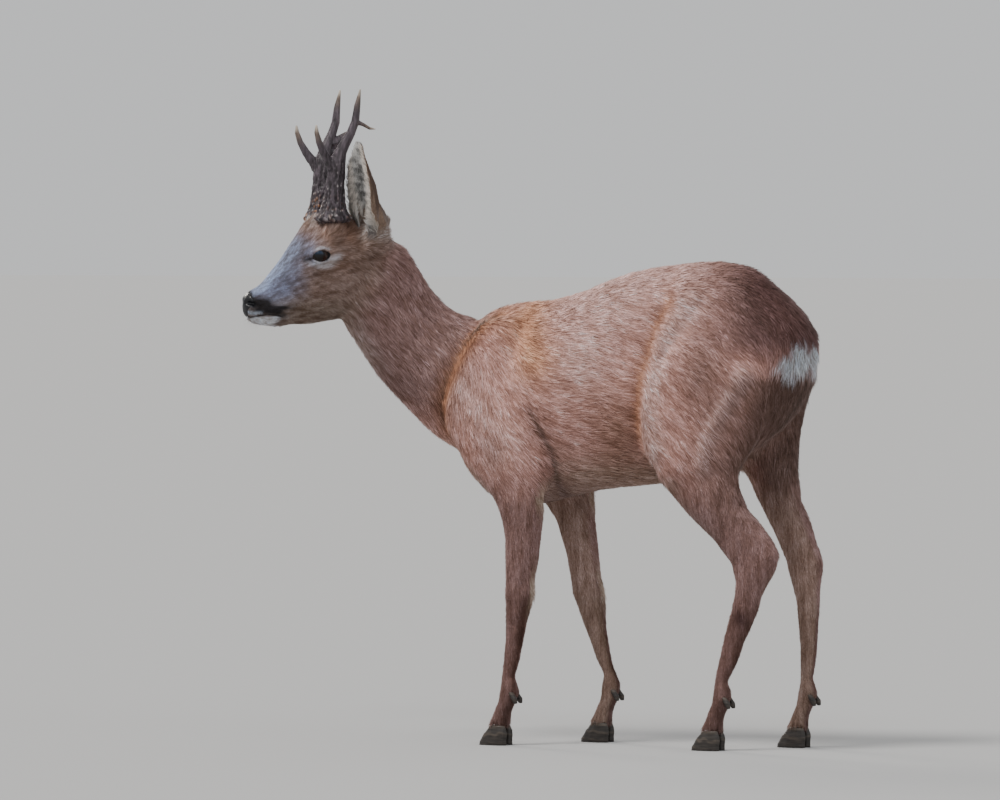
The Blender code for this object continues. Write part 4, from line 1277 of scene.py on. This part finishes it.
def grow_ear(obj, side, fur):
    """Short dark fur on the back and long pale hair within."""
    surface = Surface(obj.data)
    facing, across = ear_axes(side)
    inner = inner_side(surface.face_normals, facing)
    inner *= ramp(0.08, 0.24, ear_height(surface.centres, side))
    for kind, density, count in ((LOCK, inner, EAR_LOCKS), (SPIKE, 1.02 - inner, EAR_SPIKES)):
        roots, normals = surface.scatter(count, density, RANDOM)
        tall, place = ear_height(roots, side), ear_width(surface.points, roots, across)
        jitter = RANDOM.normal(0, 0.25, (count, 1))
        edge = np.abs(place)
        if kind is LOCK:
            name, width = obj.name + "_inner", 0.0008
            way = UP - across * (1.1 * place)[:, None] + facing * 0.25
            length = RANDOM.uniform(0.008, 0.016, count) * (1 - 0.45 * tall)
            lift = length * RANDOM.uniform(0.08, 0.40, count)
            tone = 0.66 + 0.50 * ripple(roots, 0.0075, 5) + RANDOM.normal(0, 0.16, count)
            # Paler towards the edges: partly the pale hair of the rim, partly painted light on edge
            # hairs that lie in shade.
            pale = ramp(0.55, 0.9, edge)
            tone = np.clip(tone + 0.45 * pale, 0.18, 1.2)
            colours = mixed(EAR_HAIR, (EAR_RIM, 0.6 * pale))
        else:
            name, width = obj.name + "_back", 0.0009
            way = UP + across * (0.15 * place)[:, None]
            length = RANDOM.uniform(0.005, 0.009, count) * (1 + 0.7 * ramp(0.35, 0.05, tall))
            length *= 1 - 0.5 * ramp(0.6, 0.95, edge)
            lift = length * RANDOM.uniform(0.05, 0.22, count)
            colours = ear_colour(roots, normals, side, place)
            tone = RANDOM.normal(1, 0.16, count)
        way = along_skin(way + across * jitter, normals)
        shape = (roots, normals, way, length, np.full(count, width), lift)
        turn = 1.3 * ramp(0.70, 0.95, edge)[:, None] * facing
        grow(name, kind, shape, colours * tone[:, None], fur, turn)


# ---- whiskers and lashes
def whisker_density(h):
    lips = ramp(0.172, 0.190, h[:, 0]) * ramp(0.678, 0.672, h[:, 2])
    return (0.35 + ramp(0.662, 0.656, h[:, 2])) * lips * (nose_pad(h) < 0.05)


def lash_density(h):
    opening, beside = eye_opening(h), np.abs(h[:, 1]) > EYE_SIDE[0]
    upper = ramp(0.002, 0.006, h[:, 2] - EYE_MIDDLE[1])
    return (opening > 1.06) * (opening < 1.20) * upper * beside


# Name, number, where, pull ahead and up, pull off the skin, spread, lengths, width, colour.
BRISTLES = [
    ("whiskers", 46, whisker_density, (0.75, -0.62), 0.9, 0.22, (0.007, 0.019), 0.00055, CHIN),
    ("lashes", 60, lash_density, (0.25, -0.25), 1, 0.15, (0.0030, 0.0055), 0.00045, BLACK),
]


def grow_bristles(skin, fur):
    """Loose pale bristles on lips and chin and dark lashes on the upper lids."""
    surface = Surface(skin.data)
    random = np.random.default_rng(23)
    for name, count, density, (ahead, up), off, spread, lengths, width, colour in BRISTLES:
        roots, normals = surface.scatter(count, density(to_head(surface.centres)), random)
        way = head_vector((ahead, 0, up)) + off * normals
        way = unit(way + random.normal(0, spread, (count, 3)))
        length = random.uniform(*lengths, count)
        shape = (roots, normals, way, length, np.full(count, width), np.zeros(count))
        grow(name, SPIKE, shape, np.tile(colour, (count, 1)), fur)


# ---- nose leather
def make_nose(skin, leather):
    """The naked pad: a thin cover over the skin that dives into it all round."""
    mesh = skin.data
    points, normals = positions(mesh), vertex_normals(mesh)
    pad = nose_pad(to_head(points))
    faces = [tuple(p.vertices) for p in mesh.polygons if max(pad[i] for i in p.vertices) > 0.02]
    used = sorted({i for face in faces for i in face})
    renamed = {old: new for new, old in enumerate(used)}
    raised = points[used] + normals[used] * (0.0012 * pad[used] - 0.0006)[:, None]
    obj = new_object("nose_pad", raised, [[renamed[i] for i in face] for face in faces])
    dress(obj, leather, "nose", "nose")


# ---- camera, light and floor
# Azimuths are measured from straight before the animal's left side, in degrees like the rises.
CAMERA_AZIMUTH = 25
CAMERA_RISE = 1.2
CAMERA_AWAY = 14.0
METRES_PER_FRAME = 1.55  # width of the view where the animal stands
SENSOR = 36  # millimetres
VIEW_SHIFT = -0.155  # from the trunk's zero, across the view
VIEW_HEIGHT = 0.535
FLOOR_SHADE = 0.44  # share of the light that the floor gives back
# Azimuth, rise, strength, spread, colour.
LIGHTS = {
    "key": (-28, 56, 2.30, 20, (1.0, 0.965, 0.92)),
    "rim": (-125, 28, 1.10, 16, (1.0, 0.94, 0.86)),
    "fill": (75, 30, 0.30, 40, (0.90, 0.95, 1.0)),
    "catch": (16, 40, 0.30, 11, (0.88, 0.94, 1.0)),
}


def aim(obj, azimuth, rise, away, centre=(0, 0, 0)):
    """Puts a camera or light away from centre and turns it there."""
    a, e = math.radians(azimuth), math.radians(rise)
    back = Vector((math.sin(a) * math.cos(e), -math.cos(a) * math.cos(e), math.sin(e)))
    obj.location = Vector(centre) + back * away
    obj.rotation_euler = back.to_track_quat("Z", "Y").to_euler()


def make_camera():
    data = bpy.data.cameras.new("camera")
    data.sensor_width = SENSOR
    data.lens = SENSOR * CAMERA_AWAY / METRES_PER_FRAME
    data.clip_end = 200
    camera = add_object("camera", data)
    turn = math.radians(CAMERA_AZIMUTH)
    shift = [VIEW_SHIFT * math.cos(turn), VIEW_SHIFT * math.sin(turn), VIEW_HEIGHT]
    aim(camera, CAMERA_AZIMUTH, CAMERA_RISE, CAMERA_AWAY, TRUNK_ZERO + shift)
    bpy.context.scene.camera = camera


def make_studio():
    """A pale floor whose far end has the brightness of the sky, so that no edge shows."""
    corners = [(-90, -90, 0), (90, -90, 0), (90, 90, 0), (-90, 90, 0)]
    floor = new_object("floor", corners, [(0, 1, 2, 3)])
    floor.data.materials.append(material("floor_paint", 1.0, 0.0, (FLOOR_SHADE,) * 3)[0])
    falling = 0
    for name, (azimuth, rise, strength, spread, colour) in LIGHTS.items():
        data = bpy.data.lights.new(name, "SUN")
        data.energy = strength
        data.angle = math.radians(spread)
        data.color = colour
        aim(add_object(name, data), azimuth, rise, 5)
        falling += strength * math.sin(math.radians(rise))
    world = bpy.data.worlds.new("studio")
    bpy.context.scene.world = world
    world.use_nodes = True
    sky = {"Color": (0.98, 0.99, 1.0, 1)}
    sky["Strength"] = FLOOR_SHADE * falling / math.pi / (1 - FLOOR_SHADE)
    feed(world.node_tree, world.node_tree.nodes["Background"], sky)


# ---- put together
def main():
    make_camera()
    make_studio()
    fur = fur_material()
    skin = make_skin()
    mesh = skin.data
    set_colours(mesh, markings(positions(mesh), vertex_normals(mesh)) * 0.8)
    look = grained(material("skin", 0.8, 0.2), 300, 3, (0.35, 1, 1), (0.75, 1.15), (0.6, 0.0012))
    dress(skin, look, "coat", *[name for name in FLESH if name != "nose"])
    grow_coat(skin, fur)
    grow_bristles(skin, fur)
    make_nose(skin, nose_material())
    glass = material("eye_glass", 0.05, 0.22)[0]
    bone = material("antler_bone", 0.5, 0.45)
    bone = grained(bone, 260, 5, (1, 1, 0.25), (0.65, 1.35), (0.45, 0.0008))
    horn = material("hoof_horn", 0.42, 0.4)
    horn = grained(horn, 160, 3, (0.3, 0.3, 2.5), (0.6, 1.5), (0.5, 0.0008))
    for side in SIDES:
        make_eye(side, glass)
        make_antler(side, bone)
        make_ear(side, look, fur)
    for leg in LEG_NAMES:
        for part in ("hoof_inner", "hoof_outer", "dewclaw_inner", "dewclaw_outer"):
            make_hoof(f"{leg}_{part}", horn)


main()
